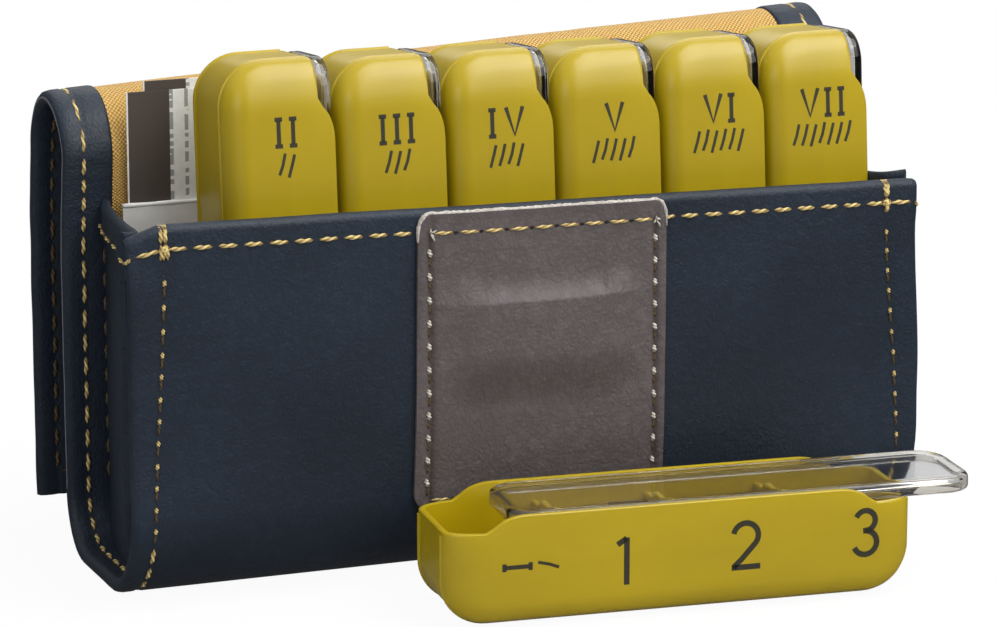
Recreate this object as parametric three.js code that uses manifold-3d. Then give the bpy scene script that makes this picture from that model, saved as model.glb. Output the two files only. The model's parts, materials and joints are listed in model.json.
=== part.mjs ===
// A weekly pill dispenser: seven day trays with clear sliding lids and a sewn leatherette case for them.
// The case is one strip of cover, folded into a front pocket, a rounded bottom, a back panel and a flap.
// Millimetres, +Z up, +X to the right along the case, -Y towards the user. Z = 0 is the table.
import * as THREE from "three";
import { mergeVertices } from "three/addons/utils/BufferGeometryUtils.js";
import Module from "manifold-3d";

const wasm = await Module();
wasm.setup();

// The cover's strip
const caseDepth = 49;
const mouthHeight = 75;
const foldHeight = 97.5;
const flapRise = 5.6; // the open flap's lower edge above the table
const frontBendRadius = 19;
const backBendRadius = 13;
const foldInnerRadius = 10.2;
const leatherThickness = 1.2;
const liningThickness = 1.1;
const sideHemThickness = 1.3;
const sideHemWidth = 10.2;
const layerGap = 0.3;
const seamGap = 0.3; // between sewn pieces that meet edge to face

// The flap bends in the fold and at two creases, measured along its lining
const foldHingeShares = [0.1, 0.3, 0.5, 0.7, 0.9];
const flapTopLength = 8.5;
const flapSlopeLength = 34.8;
const hingeGap = 0.3;

// The pocket's rolled edge, gussets and front patch
const mouthHemHeight = 3.6;
const mouthHemThickness = 3.2;
const gussetInset = 3.6; // from the cover's side edge
const gussetThickness = 1.6;
const gussetFrontTop = 74.5;
const gussetBackTop = 72;
const gussetBottom = 12.5;
const gussetTrimHeight = 7;
const gussetTrimThickness = 0.8;
const patchWidth = 52;
const patchBottom = 15;
const patchTop = 75.4;
const patchOffset = 1.3; // the patch sits a little right of the middle
const patchThickness = 1.1;
const patchCornerRadius = 4;
const magnetLength = 26;
const magnetHeight = 11;
const magnetThickness = 2;
const magnetRise = 51.2; // the front magnet's middle above the table
const magnetGap = 0.3;
const bumpMargin = 2;
const bumpSoftness = 1.2;
const flapMagnetThickness = 0.7;
const flapMagnetRise = 10; // its middle above the flap's lower edge

// The cards and their sleeve
const sleeveWidth = 92;
const sleeveHeight = 61;
const sleeveBottom = 9.6;
const sleeveThickness = 0.6;
const sleeveLeftMargin = 6.7; // from the left gusset
const cardWidth = 85;
const cardThickness = 0.4;
const cardGap = 0.35;
const cardBottom = 12;
const cardHeight = 81.4;
const cardInset = 1.4; // the first card's left edge from the sleeve's
const cardStagger = 3.7; // the second card stands further right
const cardStaggerUp = 1.9; // and higher

// One tray, lying with its lid up: length along u, width along v, height along w
const trayLength = 94.4;
const trayWidth = 25.6;
const trayHeight = 22;
const trayWall = 1.3;
const trayFloor = 1.3;
const trayEndRadius = 9; // the rounded lower corners, seen from the side
const trayCornerLength = 9.5; // the upright corners, seen from above, are oval
const trayCornerWidth = 5;
const trayEdgeRadius = 5; // the long lower edges
const trayEndDrop = 3.2; // the walls are lower at both ends
const trayEndDropLength = 8.6;
const trayRampLength = 7.5;
const trayRampLean = 2.2; // how far in the ramp's curve is steered as it rises
const compartments = 4;
const partitionThickness = 1.2;
const partitionDrop = 3.5;
const lidThickness = 1.2;
const lidGap = 0.2; // over the end walls
const lidSideGap = 0.3; // to the side walls
const lidRimWall = 1.3;
const lidCornerRadius = 6;
const lidEndRadius = 1.8;

// Where the trays stand and lie
const dayTrays = ["monday", "tuesday", "wednesday", "thursday", "friday", "saturday", "sunday"];
const trayRowGap = 0.7;
const pocketPlay = 0.6; // left over in the pocket with every tray in it
const traySideGap = 0.4; // the last tray's lid to the right gusset
const trayLean = THREE.MathUtils.degToRad(5);
const trayFootReach = 5.75; // from the case's front to a standing tray's lower front edge
const trayFootZ = 7.4;
const trayLifts = [2.1, 1.2, 0.9, 0.3, 0.5, 0.2]; // the soft bottom holds the left ones higher
const looseTrayX = 17.7;
const looseTrayDistance = 23.4; // from the case's front to the middle of the tray
const looseTrayTurn = THREE.MathUtils.degToRad(-4.7);
const looseLidShift = 13.5;

// Steps of the round parts
const bendSteps = 9;
const foldLinkSteps = 3;
const cornerSteps = 5;
const endSteps = 7;
const edgeSteps = 2;
const trayEdgeSteps = 3;
const cutOverrun = 3;

// Worked out from the sizes above: the pocket is as wide as its trays, and the cover follows it
const trayPitch = trayHeight + trayRowGap;
const pocketWidth = dayTrays.length * trayHeight + pocketPlay;
const gussetFace = pocketWidth / 2;
const gussetOuter = gussetFace + gussetThickness;
const caseWidth = 2 * (gussetOuter + gussetInset);
const hemInset = caseWidth / 2 - sideHemWidth;
const coverThickness = leatherThickness + layerGap + liningThickness;
const liningDepth = leatherThickness + layerGap;
const frontFace = -caseDepth / 2;
const backFace = caseDepth / 2;
const panelTop = mouthHeight - mouthHemHeight;
const foldCentreY = backFace + foldInnerRadius;
const foldCentreZ = foldHeight - foldInnerRadius - coverThickness;
const flapFace = foldCentreY + foldInnerRadius;
const trayRowRight = gussetFace - traySideGap;
const trayFootY = frontFace + trayFootReach;
const looseTrayY = frontFace - looseTrayDistance;

const colours = {
  navy: 0x26303e,
  navyEdge: 0x2c3848,
  canvas: 0xc99a46,
  grey: 0x706664,
  yellow: 0xb8a01c,
  clear: 0xdfe6e8,
  sleeve: 0xc8c8c6,
  card: 0xe6e5e2,
  steel: 0x9a9c9e,
};

function finish(colour, roughness, metalness = 0) {
  return new THREE.MeshStandardMaterial({ color: colour, roughness, metalness });
}

const leather = finish(colours.navy, 0.6);
const turnedLeather = finish(colours.navyEdge, 0.6);
const canvas = finish(colours.canvas, 0.9);
const patchLeather = finish(colours.grey, 0.7);
const trayPlastic = finish(colours.yellow, 0.45);
const sleevePlastic = finish(colours.sleeve, 0.5);
const cardBoard = finish(colours.card, 0.8);
const magnetSteel = finish(colours.steel, 0.35, 1);
const clearPlastic = finish(colours.clear, 0.08);
clearPlastic.transparent = true;
clearPlastic.opacity = 0.35;

const model = new THREE.Group();

function add(name, geometry, material, parent = model) {
  const mesh = new THREE.Mesh(geometry, material);
  mesh.name = name;
  parent.add(mesh);
  return mesh;
}

// Solids for cutting and joining
function solidOf(geometry) {
  const bare = geometry.index ? geometry.toNonIndexed() : geometry.clone();
  bare.deleteAttribute("normal");
  bare.deleteAttribute("uv");
  const merged = mergeVertices(bare);
  return new wasm.Manifold(
    new wasm.Mesh({
      numProp: 3,
      vertProperties: new Float32Array(merged.attributes.position.array),
      triVerts: new Uint32Array(merged.index.array),
    }),
  );
}

function geometryOf(solid) {
  const mesh = solid.getMesh();
  const geometry = new THREE.BufferGeometry();
  geometry.setAttribute("position", new THREE.BufferAttribute(mesh.vertProperties, 3));
  geometry.setIndex(new THREE.BufferAttribute(mesh.triVerts, 1));
  const flat = geometry.toNonIndexed();
  flat.computeVertexNormals();
  return flat;
}

function box(low, high) {
  const size = high.map((value, axis) => value - low[axis]);
  const middle = high.map((value, axis) => (value + low[axis]) / 2);
  return new THREE.BoxGeometry(...size).translate(...middle);
}

// Extrudes an outline drawn in Y and Z along X
function alongX(outline, left, right) {
  const shape = new THREE.Shape(outline.map(([y, z]) => new THREE.Vector2(y, z)));
  const geometry = new THREE.ExtrudeGeometry(shape, { depth: right - left, bevelEnabled: false, steps: 1 });
  const turn = new THREE.Matrix4().makeBasis(
    new THREE.Vector3(0, 1, 0),
    new THREE.Vector3(0, 0, 1),
    new THREE.Vector3(1, 0, 0),
  );
  return geometry.applyMatrix4(turn).translate(left, 0, 0);
}

// Extrudes a shape drawn in X and Z from the back forwards, with softened edges at both faces
function alongY(shape, back, front, softness) {
  const geometry = new THREE.ExtrudeGeometry(shape, {
    depth: back - front - 2 * softness,
    bevelEnabled: softness > 0,
    bevelSize: softness,
    bevelThickness: softness,
    bevelOffset: -softness,
    bevelSegments: edgeSteps,
    curveSegments: cornerSteps,
    steps: 1,
  });
  return geometry.rotateX(Math.PI / 2).translate(0, back - softness, 0);
}

function roundedRectangle(left, low, right, high, radius) {
  const shape = new THREE.Shape();
  shape.moveTo(left + radius, low);
  shape.lineTo(right - radius, low);
  shape.absarc(right - radius, low + radius, radius, -Math.PI / 2, 0);
  shape.lineTo(right, high - radius);
  shape.absarc(right - radius, high - radius, radius, 0, Math.PI / 2);
  shape.lineTo(left + radius, high);
  shape.absarc(left + radius, high - radius, radius, Math.PI / 2, Math.PI);
  shape.lineTo(left, low + radius);
  shape.absarc(left + radius, low + radius, radius, Math.PI, 3 * Math.PI / 2);
  return shape;
}

// The cover's leather face as stations: a place in Y and Z, and the direction across the cover to its lining
function straight(from, to, across) {
  return [from, to].map(([y, z]) => ({ y, z, across }));
}

function bend(centreY, centreZ, radius, startAngle, endAngle, steps, side) {
  const stations = [];
  for (let step = 0; step <= steps; step += 1) {
    const angle = startAngle + (endAngle - startAngle) * step / steps;
    const out = [Math.cos(angle), Math.sin(angle)];
    stations.push({
      y: centreY + radius * out[0],
      z: centreZ + radius * out[1],
      across: [side * out[0], side * out[1]],
    });
  }
  return stations;
}

function acrossCover(station, depth) {
  return [station.y + station.across[0] * depth, station.z + station.across[1] * depth];
}

// A layer of the cover along the stations, between two depths below the leather's face
function layer(stations, nearDepth, farDepth, left = -caseWidth / 2, right = caseWidth / 2) {
  const near = stations.map((station) => acrossCover(station, nearDepth));
  const far = stations.map((station) => acrossCover(station, farDepth)).reverse();
  return alongX([...near, ...far], left, right);
}

// The fold's angle runs from 0 at the back panel to a half turn at the flap
function foldStations(fromAngle, toAngle, steps) {
  return bend(foldCentreY, foldCentreZ, foldInnerRadius, Math.PI - fromAngle, Math.PI - toAngle, steps, 1);
}

const liningRadius = foldInnerRadius + coverThickness;
const halfGapAngle = hingeGap / 2 / liningRadius;
const foldHinges = foldHingeShares.map((share) => share * Math.PI);
const firstHinge = foldHinges[0];
const lastHinge = foldHinges[foldHinges.length - 1];

const pocketAndBack = [
  ...straight([frontFace, panelTop], [frontFace, frontBendRadius], [1, 0]),
  ...bend(frontFace + frontBendRadius, frontBendRadius, frontBendRadius, Math.PI, 3 * Math.PI / 2, bendSteps, -1)
    .slice(1),
  ...bend(backFace - backBendRadius, backBendRadius, backBendRadius, 3 * Math.PI / 2, 2 * Math.PI, bendSteps, -1),
  ...foldStations(0, firstHinge - halfGapAngle, 1),
];

add("cover_leather", layer(pocketAndBack, 0, leatherThickness), leather);
add("cover_lining", layer(pocketAndBack, liningDepth, coverThickness, layerGap - hemInset, hemInset - layerGap), canvas);
const hemDepth = liningDepth + sideHemThickness;
add("side_hem_left", layer(pocketAndBack, liningDepth, hemDepth, -caseWidth / 2, -hemInset), turnedLeather);
add("side_hem_right", layer(pocketAndBack, liningDepth, hemDepth, hemInset, caseWidth / 2), turnedLeather);

// The short links of the fold, each turning on the lining's face
for (let link = 0; link < foldHinges.length - 1; link += 1) {
  const stations = foldStations(foldHinges[link] + halfGapAngle, foldHinges[link + 1] - halfGapAngle, foldLinkSteps);
  add(`fold_${link + 1}_leather`, layer(stations, 0, leatherThickness), leather);
  add(`fold_${link + 1}_lining`, layer(stations, liningDepth, coverThickness), canvas);
}

// The flap's three panels hang behind the back panel when the case is open
const creaseUpper = foldCentreZ - flapTopLength;
const creaseLower = creaseUpper - flapSlopeLength;
const flapTop = [
  ...foldStations(lastHinge + halfGapAngle, Math.PI, 1),
  ...straight([flapFace, foldCentreZ], [flapFace, creaseUpper + hingeGap / 2], [1, 0]).slice(1),
];
const flapSlope = straight([flapFace, creaseUpper - hingeGap / 2], [flapFace, creaseLower + hingeGap / 2], [1, 0]);
const flapFront = straight([flapFace, creaseLower - hingeGap / 2], [flapFace, flapRise], [1, 0]);
add("flap_top_leather", layer(flapTop, 0, leatherThickness), leather);
add("flap_top_lining", layer(flapTop, liningDepth, coverThickness), canvas);
add("flap_slope_leather", layer(flapSlope, 0, leatherThickness), leather);
add("flap_slope_lining", layer(flapSlope, liningDepth, coverThickness), canvas);
add("flap_front_leather", layer(flapFront, 0, leatherThickness), leather);

// The flap's magnet lies in a recess of the lining
const flapMagnetZ = flapRise + flapMagnetRise;
const flapMagnetNear = flapFace + leatherThickness + layerGap / 2;
const flapMagnetFar = flapMagnetNear + flapMagnetThickness;
const flapMagnetLow = [patchOffset - magnetLength / 2, flapMagnetNear, flapMagnetZ - magnetHeight / 2];
const flapMagnetHigh = [patchOffset + magnetLength / 2, flapMagnetFar, flapMagnetZ + magnetHeight / 2];
const recess = box(
  [flapMagnetLow[0] - magnetGap, flapFace, flapMagnetLow[2] - magnetGap],
  [flapMagnetHigh[0] + magnetGap, flapMagnetFar + layerGap / 2, flapMagnetHigh[2] + magnetGap],
);
const flapFrontLining = solidOf(layer(flapFront, liningDepth, coverThickness)).subtract(solidOf(recess));
add("flap_front_lining", geometryOf(flapFrontLining), canvas);
add("flap_magnet", box(flapMagnetLow, flapMagnetHigh), magnetSteel);

// The rolled edge along the pocket's mouth, with a round top
const hemMiddle = frontFace + mouthHemThickness / 2;
const mouthHemOutline = [
  [frontFace, panelTop + seamGap],
  ...bend(hemMiddle, mouthHeight - mouthHemThickness / 2, mouthHemThickness / 2, Math.PI, 0, bendSteps, 1)
    .map((station) => [station.y, station.z]),
  [frontFace + mouthHemThickness, panelTop + seamGap],
];
add("mouth_hem", alongX(mouthHemOutline, -caseWidth / 2, caseWidth / 2), turnedLeather);

// The side gussets close the pocket's ends above an open bottom
const gussetFront = frontFace + mouthHemThickness + seamGap;
const gussetBack = backFace - liningDepth - sideHemThickness - seamGap;
const gussetBendY = frontFace + frontBendRadius;
const gussetBendRadius = frontBendRadius - hemDepth - seamGap;
const gussetHeelDrop = frontBendRadius - gussetBottom;
const gussetHeel = gussetBendY - Math.sqrt(gussetBendRadius ** 2 - gussetHeelDrop ** 2);
const gussetOutline = [
  [gussetHeel, gussetBottom],
  [gussetBack, gussetBottom],
  [gussetBack, gussetBackTop],
  [gussetFront, gussetFrontTop],
  [gussetFront, frontBendRadius],
];
const gussetTrimOutline = [
  [gussetFront, gussetFrontTop - gussetTrimHeight],
  [gussetBack, gussetBackTop - gussetTrimHeight],
  [gussetBack, gussetBackTop],
  [gussetFront, gussetFrontTop],
];
const trimOuter = gussetOuter + seamGap + gussetTrimThickness;
add("gusset_left", alongX(gussetOutline, -gussetOuter, -gussetFace), leather);
add("gusset_right", alongX(gussetOutline, gussetFace, gussetOuter), leather);
add("gusset_trim_left", alongX(gussetTrimOutline, -trimOuter, -gussetOuter - seamGap), turnedLeather);
add("gusset_trim_right", alongX(gussetTrimOutline, gussetOuter + seamGap, trimOuter), turnedLeather);

// The patch covers the front magnet with a raised pad
const patchBack = frontFace - seamGap;
const patchFront = patchBack - patchThickness;
const magnetBack = patchBack;
const magnetFront = magnetBack - magnetThickness;
const bumpFront = magnetFront - magnetGap - patchThickness;
const patchShape = roundedRectangle(
  patchOffset - patchWidth / 2, patchBottom, patchOffset + patchWidth / 2, patchTop, patchCornerRadius,
);
const magnetReachX = magnetLength / 2 + bumpMargin;
const magnetReachZ = magnetHeight / 2 + bumpMargin;
const bumpShape = roundedRectangle(
  patchOffset - magnetReachX, magnetRise - magnetReachZ, patchOffset + magnetReachX, magnetRise + magnetReachZ,
  bumpMargin,
);
const magnetPocket = box(
  [patchOffset - magnetLength / 2 - magnetGap, magnetFront - magnetGap, magnetRise - magnetHeight / 2 - magnetGap],
  [patchOffset + magnetLength / 2 + magnetGap, magnetBack + cutOverrun, magnetRise + magnetHeight / 2 + magnetGap],
);
const bumpBack = patchFront + bumpSoftness;
const patch = solidOf(alongY(patchShape, patchBack, patchFront, 0))
  .add(solidOf(alongY(bumpShape, bumpBack + bumpSoftness, bumpFront, bumpSoftness))
    .subtract(solidOf(box(
      [-caseWidth, patchBack - patchThickness / 2, 0],
      [caseWidth, patchBack + caseDepth, foldHeight],
    ))))
  .subtract(solidOf(magnetPocket));
add("closure_patch", geometryOf(patch), patchLeather);
add("front_magnet", box(
  [patchOffset - magnetLength / 2, magnetFront, magnetRise - magnetHeight / 2],
  [patchOffset + magnetLength / 2, magnetBack, magnetRise + magnetHeight / 2],
), magnetSteel);

// Two cards stand behind the trays, in front of the lining, and a sleeve holds them
const sleeveLeft = -gussetFace + sleeveLeftMargin;
const backCardFar = backFace - coverThickness - layerGap - cardGap / 2;
const backCardNear = backCardFar - cardThickness;
const frontCardFar = backCardNear - cardGap;
const frontCardNear = frontCardFar - cardThickness;
const sleeveFar = frontCardNear - cardGap;
const cardLeft = sleeveLeft + cardInset;
add("card_sleeve", box(
  [sleeveLeft, sleeveFar - sleeveThickness, sleeveBottom],
  [sleeveLeft + sleeveWidth, sleeveFar, sleeveBottom + sleeveHeight],
), sleevePlastic);
add("card_front", box(
  [cardLeft, frontCardNear, cardBottom],
  [cardLeft + cardWidth, frontCardFar, cardBottom + cardHeight],
), cardBoard);
add("card_back", box(
  [cardLeft + cardStagger, backCardNear, cardBottom + cardStaggerUp],
  [cardLeft + cardStagger + cardWidth, backCardFar, cardBottom + cardStaggerUp + cardHeight],
), cardBoard);

// The line of the tray's rim from the side, lower at both ends where the lid slides out
function rimSide() {
  const end = trayLength / 2 + cutOverrun;
  const low = trayHeight - trayEndDrop;
  const foot = trayLength / 2 - trayEndDropLength;
  const shoulder = foot - trayRampLength;
  const shape = new THREE.Shape();
  shape.moveTo(-end, -cutOverrun);
  shape.lineTo(end, -cutOverrun);
  shape.lineTo(end, low);
  shape.lineTo(foot, low);
  shape.quadraticCurveTo(foot - trayRampLean, trayHeight, shoulder, trayHeight);
  shape.lineTo(-shoulder, trayHeight);
  shape.quadraticCurveTo(-foot + trayRampLean, trayHeight, -foot, low);
  shape.lineTo(-end, low);
  return shape;
}

function upright(shape, low, high) {
  const geometry = new THREE.ExtrudeGeometry(shape, {
    depth: high - low, bevelEnabled: false, curveSegments: cornerSteps, steps: 1,
  });
  return geometry.translate(0, 0, low);
}

function sideways(shape, halfWidth, softness, steps) {
  const geometry = new THREE.ExtrudeGeometry(shape, {
    depth: 2 * (halfWidth - softness),
    bevelEnabled: softness > 0,
    bevelSize: softness,
    bevelThickness: softness,
    bevelOffset: -softness,
    bevelSegments: trayEdgeSteps,
    curveSegments: steps,
    steps: 1,
  });
  return geometry.rotateX(Math.PI / 2).translate(0, halfWidth - softness, 0);
}

function planOf(length, width, cornerLength, cornerWidth) {
  const along = length / 2 - cornerLength;
  const across = width / 2 - cornerWidth;
  const shape = new THREE.Shape();
  shape.moveTo(-along, -width / 2);
  shape.absellipse(along, -across, cornerLength, cornerWidth, -Math.PI / 2, 0);
  shape.absellipse(along, across, cornerLength, cornerWidth, 0, Math.PI / 2);
  shape.absellipse(-along, across, cornerLength, cornerWidth, Math.PI / 2, Math.PI);
  shape.absellipse(-along, -across, cornerLength, cornerWidth, Math.PI, 3 * Math.PI / 2);
  return shape;
}

// A round-bottomed trough, open above the tray's rim
function trough(length, width, floor, endRadius, edgeRadius, cornerLength, cornerWidth) {
  const side = roundedRectangle(
    -length / 2, floor, length / 2, trayHeight + endRadius + cutOverrun, endRadius,
  );
  return solidOf(sideways(side, width / 2, edgeRadius, endSteps))
    .intersect(solidOf(upright(
      planOf(length, width, cornerLength, cornerWidth), -cutOverrun, trayHeight + cutOverrun,
    )));
}

function makeTray() {
  const innerLength = trayLength - 2 * trayWall;
  const innerWidth = trayWidth - 2 * trayWall;
  const outer = trough(
    trayLength, trayWidth, 0, trayEndRadius, trayEdgeRadius, trayCornerLength, trayCornerWidth,
  ).intersect(solidOf(sideways(rimSide(), trayWidth, 0, cornerSteps)));
  let hollow = trough(
    innerLength, innerWidth, trayFloor, trayEndRadius - trayWall, trayEdgeRadius - trayWall,
    trayCornerLength - trayWall, trayCornerWidth - trayWall,
  );
  for (let wall = 1; wall < compartments; wall += 1) {
    const middle = -innerLength / 2 + innerLength * wall / compartments;
    hollow = hollow.subtract(solidOf(box(
      [middle - partitionThickness / 2, -trayWidth, -cutOverrun],
      [middle + partitionThickness / 2, trayWidth, trayHeight - partitionDrop],
    )));
  }
  return geometryOf(outer.subtract(hollow));
}

// The lid is a clear plate with a rim turned down all round, and it slides between the walls
function makeLid() {
  const half = trayLength / 2;
  const plateLow = trayHeight - lidThickness;
  const rimLow = trayHeight - trayEndDrop + lidGap;
  const width = trayWidth - 2 * trayWall - 2 * lidSideGap;
  const endSide = roundedRectangle(-half, rimLow - 2 * lidEndRadius, half, trayHeight, lidEndRadius);
  const block = upright(planOf(trayLength, width, lidCornerRadius, lidCornerRadius), rimLow, trayHeight);
  const under = upright(
    planOf(
      trayLength - 2 * lidRimWall, width - 2 * lidRimWall,
      lidCornerRadius - lidRimWall, lidCornerRadius - lidRimWall,
    ),
    rimLow - cutOverrun, plateLow,
  );
  return geometryOf(solidOf(block).subtract(solidOf(under))
    .intersect(solidOf(sideways(endSide, trayWidth / 2, 0, cornerSteps))));
}

const trayGeometry = makeTray();
const lidGeometry = makeLid();

function addTray(day, holder, lidShift) {
  add(`tray_${day}`, trayGeometry, trayPlastic, holder);
  add(`lid_${day}`, lidGeometry, clearPlastic, holder).position.x = lidShift;
}

// Six trays stand in the pocket, lids to the right, leaning back
const standingTrays = dayTrays.slice(1);
standingTrays.forEach((day, place) => {
  const leaning = new THREE.Group();
  leaning.rotation.x = -trayLean;
  leaning.position.set(
    trayRowRight - trayHeight - trayPitch * (standingTrays.length - 1 - place),
    trayFootY + trayWidth / 2 * Math.cos(trayLean) + trayLength / 2 * Math.sin(trayLean),
    trayFootZ + trayLifts[place] - trayWidth / 2 * Math.sin(trayLean)
      + trayLength / 2 * Math.cos(trayLean),
  );
  const onEnd = new THREE.Group();
  onEnd.rotation.y = Math.PI / 2;
  leaning.add(onEnd);
  model.add(leaning);
  addTray(day, onEnd, 0);
});

// The seventh lies in front of the case with its lid partly open
const looseTray = new THREE.Group();
looseTray.rotation.z = looseTrayTurn;
looseTray.position.set(looseTrayX, looseTrayY, 0);
model.add(looseTray);
addTray(dayTrays[0], looseTray, looseLidShift);

export default model;
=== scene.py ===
# A weekly pill dispenser in its sewn leatherette case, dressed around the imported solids.
# All modelling below is in millimetres, and makePiece turns it into metres.
import bisect
import json
import math
import random

import bmesh
import bpy
from mathutils import Matrix, Vector, noise


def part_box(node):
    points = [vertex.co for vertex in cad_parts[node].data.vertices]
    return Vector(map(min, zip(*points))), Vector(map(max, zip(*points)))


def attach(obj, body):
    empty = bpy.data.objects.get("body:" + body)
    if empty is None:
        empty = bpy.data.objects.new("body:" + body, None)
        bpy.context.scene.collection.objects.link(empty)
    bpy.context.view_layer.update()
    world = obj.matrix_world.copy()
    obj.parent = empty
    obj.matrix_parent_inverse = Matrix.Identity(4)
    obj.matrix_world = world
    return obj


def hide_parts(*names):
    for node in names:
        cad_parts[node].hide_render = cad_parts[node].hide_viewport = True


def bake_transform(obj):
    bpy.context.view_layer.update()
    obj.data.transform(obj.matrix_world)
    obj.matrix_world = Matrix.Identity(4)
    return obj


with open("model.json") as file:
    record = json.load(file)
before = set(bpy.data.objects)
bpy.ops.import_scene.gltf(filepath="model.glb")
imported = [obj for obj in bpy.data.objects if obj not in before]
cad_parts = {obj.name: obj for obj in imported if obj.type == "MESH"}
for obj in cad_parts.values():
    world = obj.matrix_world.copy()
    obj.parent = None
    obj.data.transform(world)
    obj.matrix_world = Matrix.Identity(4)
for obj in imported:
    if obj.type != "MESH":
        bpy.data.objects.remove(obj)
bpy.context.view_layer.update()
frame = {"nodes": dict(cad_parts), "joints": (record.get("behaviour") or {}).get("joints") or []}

mm = 0.001
days = ["monday", "tuesday", "wednesday", "thursday", "friday", "saturday", "sunday"]
scene = bpy.context.scene


def boxOf(node):
    low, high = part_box(node)
    return low / mm, high / mm


def mix(a, b, share):
    return a + (b - a) * share


def ease(value, start, end):
    share = min(1, max(0, (value - start) / (end - start)))
    return share * share * (3 - 2 * share)


def cloudAt(*place):
    return noise.noise(Vector(place))


def mirrored(place, side):
    return Vector((side * place[0], *place[1:]))


def circle(sides):
    return [2 * math.pi * corner / sides for corner in range(sides)]


def srgb(red, green, blue):
    def linear(value):
        value /= 255
        return value / 12.92 if value < 0.04045 else ((value + 0.055) / 1.055) ** 2.4
    return (linear(red), linear(green), linear(blue), 1)


def grey(level):
    return (level, level, level, 1)


# Shader maths: a socket with operators, and one method that adds every node
class Signal:
    def __init__(self, look, socket):
        self.look = look
        self.socket = socket

    def math(self, operation, *others):
        return self.look.add("ShaderNodeMath", {"operation": operation}, dict(enumerate((self, *others))))

    def __add__(self, other):
        return self.math("ADD", other)

    def __sub__(self, other):
        return self.math("SUBTRACT", other)

    def __rsub__(self, other):
        return self.look.add("ShaderNodeMath", {"operation": "SUBTRACT"}, {0: other, 1: self})

    def __mul__(self, other):
        return self.math("MULTIPLY", other)

    def __truediv__(self, other):
        return self.math("DIVIDE", other)

    def __mod__(self, other):
        return self.math("FLOORED_MODULO", other)

    __radd__ = __add__
    __rmul__ = __mul__

    def above(self, other):
        return self.math("GREATER_THAN", other)

    def below(self, other):
        return self.math("LESS_THAN", other)

    def sine(self):
        return self.math("SINE")

    def size(self):
        return self.math("ABSOLUTE")

    def least(self, other):
        return self.math("MINIMUM", other)

    def most(self, other):
        return self.math("MAXIMUM", other)

    def ramp(self, low, high, fromLow, fromHigh):
        values = {"Value": self, "From Min": fromLow, "From Max": fromHigh, "To Min": low, "To Max": high}
        return self.look.add("ShaderNodeMapRange", {}, values, "Result")


class Look:
    def __init__(self, owner):
        owner.use_nodes = True
        self.owner = owner
        self.tree = owner.node_tree
        self.tree.nodes.clear()

    # An output of None gives the node itself
    def add(self, kind, settings=None, values=None, output=0):
        node = self.tree.nodes.new(kind)
        for key, value in (settings or {}).items():
            setattr(node, key, value)
        for key, value in (values or {}).items():
            if isinstance(value, Signal):
                self.tree.links.new(value.socket, node.inputs[key])
            else:
                node.inputs[key].default_value = value
        return node if output is None else Signal(self, node.outputs[output])

    def place(self, output="Object"):
        return self.add("ShaderNodeTexCoord", output=output)

    def painted(self, name, output="Fac"):
        return self.add("ShaderNodeAttribute", {"attribute_name": name}, output=output)

    def ray(self, kind):
        return self.add("ShaderNodeLightPath", output=kind)

    def parts(self, vector):
        node = self.add("ShaderNodeSeparateXYZ", {}, {0: vector}, None)
        return [Signal(self, output) for output in node.outputs]

    def stretch(self, vector, scale):
        return self.add("ShaderNodeVectorMath", {"operation": "MULTIPLY"}, {0: vector, 1: scale})

    def cloud(self, vector, scale, detail=2.0, roughness=0.5):
        values = {"Vector": vector, "Scale": scale, "Detail": detail, "Roughness": roughness}
        return self.add("ShaderNodeTexNoise", {}, values, "Fac")

    def cells(self, vector, scale):
        values = {"Vector": vector, "Scale": scale}
        return self.add("ShaderNodeTexVoronoi", {"feature": "DISTANCE_TO_EDGE"}, values, "Distance")

    # The numbers are the mix node's colour sockets
    def blendColour(self, share, first, second):
        return self.add("ShaderNodeMix", {"data_type": "RGBA"}, {0: share, 6: first, 7: second}, 2)

    def relief(self, height, depth, strength):
        values = {"Height": height, "Distance": depth * mm, "Strength": strength}
        return self.add("ShaderNodeBump", {}, values, "Normal")

    def blendShader(self, share, first, second):
        return self.add("ShaderNodeMixShader", {}, {0: share, 1: first, 2: second})

    def close(self, surface, kind="ShaderNodeOutputMaterial"):
        self.add(kind, {}, {"Surface": surface}, None)
        return self.owner

    def finish(self, colour, roughness, normal, gloss=0.5, sheen=0.0, metal=0.0):
        values = {"Base Color": colour, "Roughness": roughness, "Normal": normal}
        values |= {"Specular IOR Level": gloss, "Sheen Weight": sheen, "Metallic": metal}
        return self.close(self.add("ShaderNodeBsdfPrincipled", {}, values))


def newLook(name):
    return Look(bpy.data.materials.new(name))


# Leatherette: a very fine grain under soft, fibrous creases, with painted shade in the creases and between
# the grain's pebbles
leather = {
    "bendShare": 0.3,  # scales of the clouds, as shares of the grain's
    "creaseShare": 0.26,
    "fineShare": 2.4,
    "broad": 26,
    "pebbleEdge": 0.34,
    "creaseDrawn": 0.8,
    "creaseGain": 7,
    "creaseTint": 0.3,
    "pebbleHeight": 0.3,
    "fineHeight": 0.3,
    "pebbleTint": 0.22,
    "cutInset": 0.9,  # where the back strip's edge shows a pale line, partly its cut edge and partly a painted highlight
    "cutNear": 1.3,
    "cutFar": 1.75,
    "relief": 0.9,
}
navySettings = {
    "dark": srgb(26, 36, 49),
    "light": srgb(35, 47, 62),
    # The crease colour is painted shade, laid in the creases, between the pebbles and in the seam channels
    "crease": srgb(17, 25, 35),
    # The pale edge line: the cut edge's colour with a painted highlight
    "cutAndHighlight": srgb(136, 138, 144),
    "cutShare": 0.6,
    "grain": 1150,
    "drawn": 0.85,
    "wander": 0.35,
    "crumple": 0.45,
    "depth": 0.14,
    "roughness": 0.5,
    "gloss": 0.38,
    "sewn": False,
}
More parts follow.
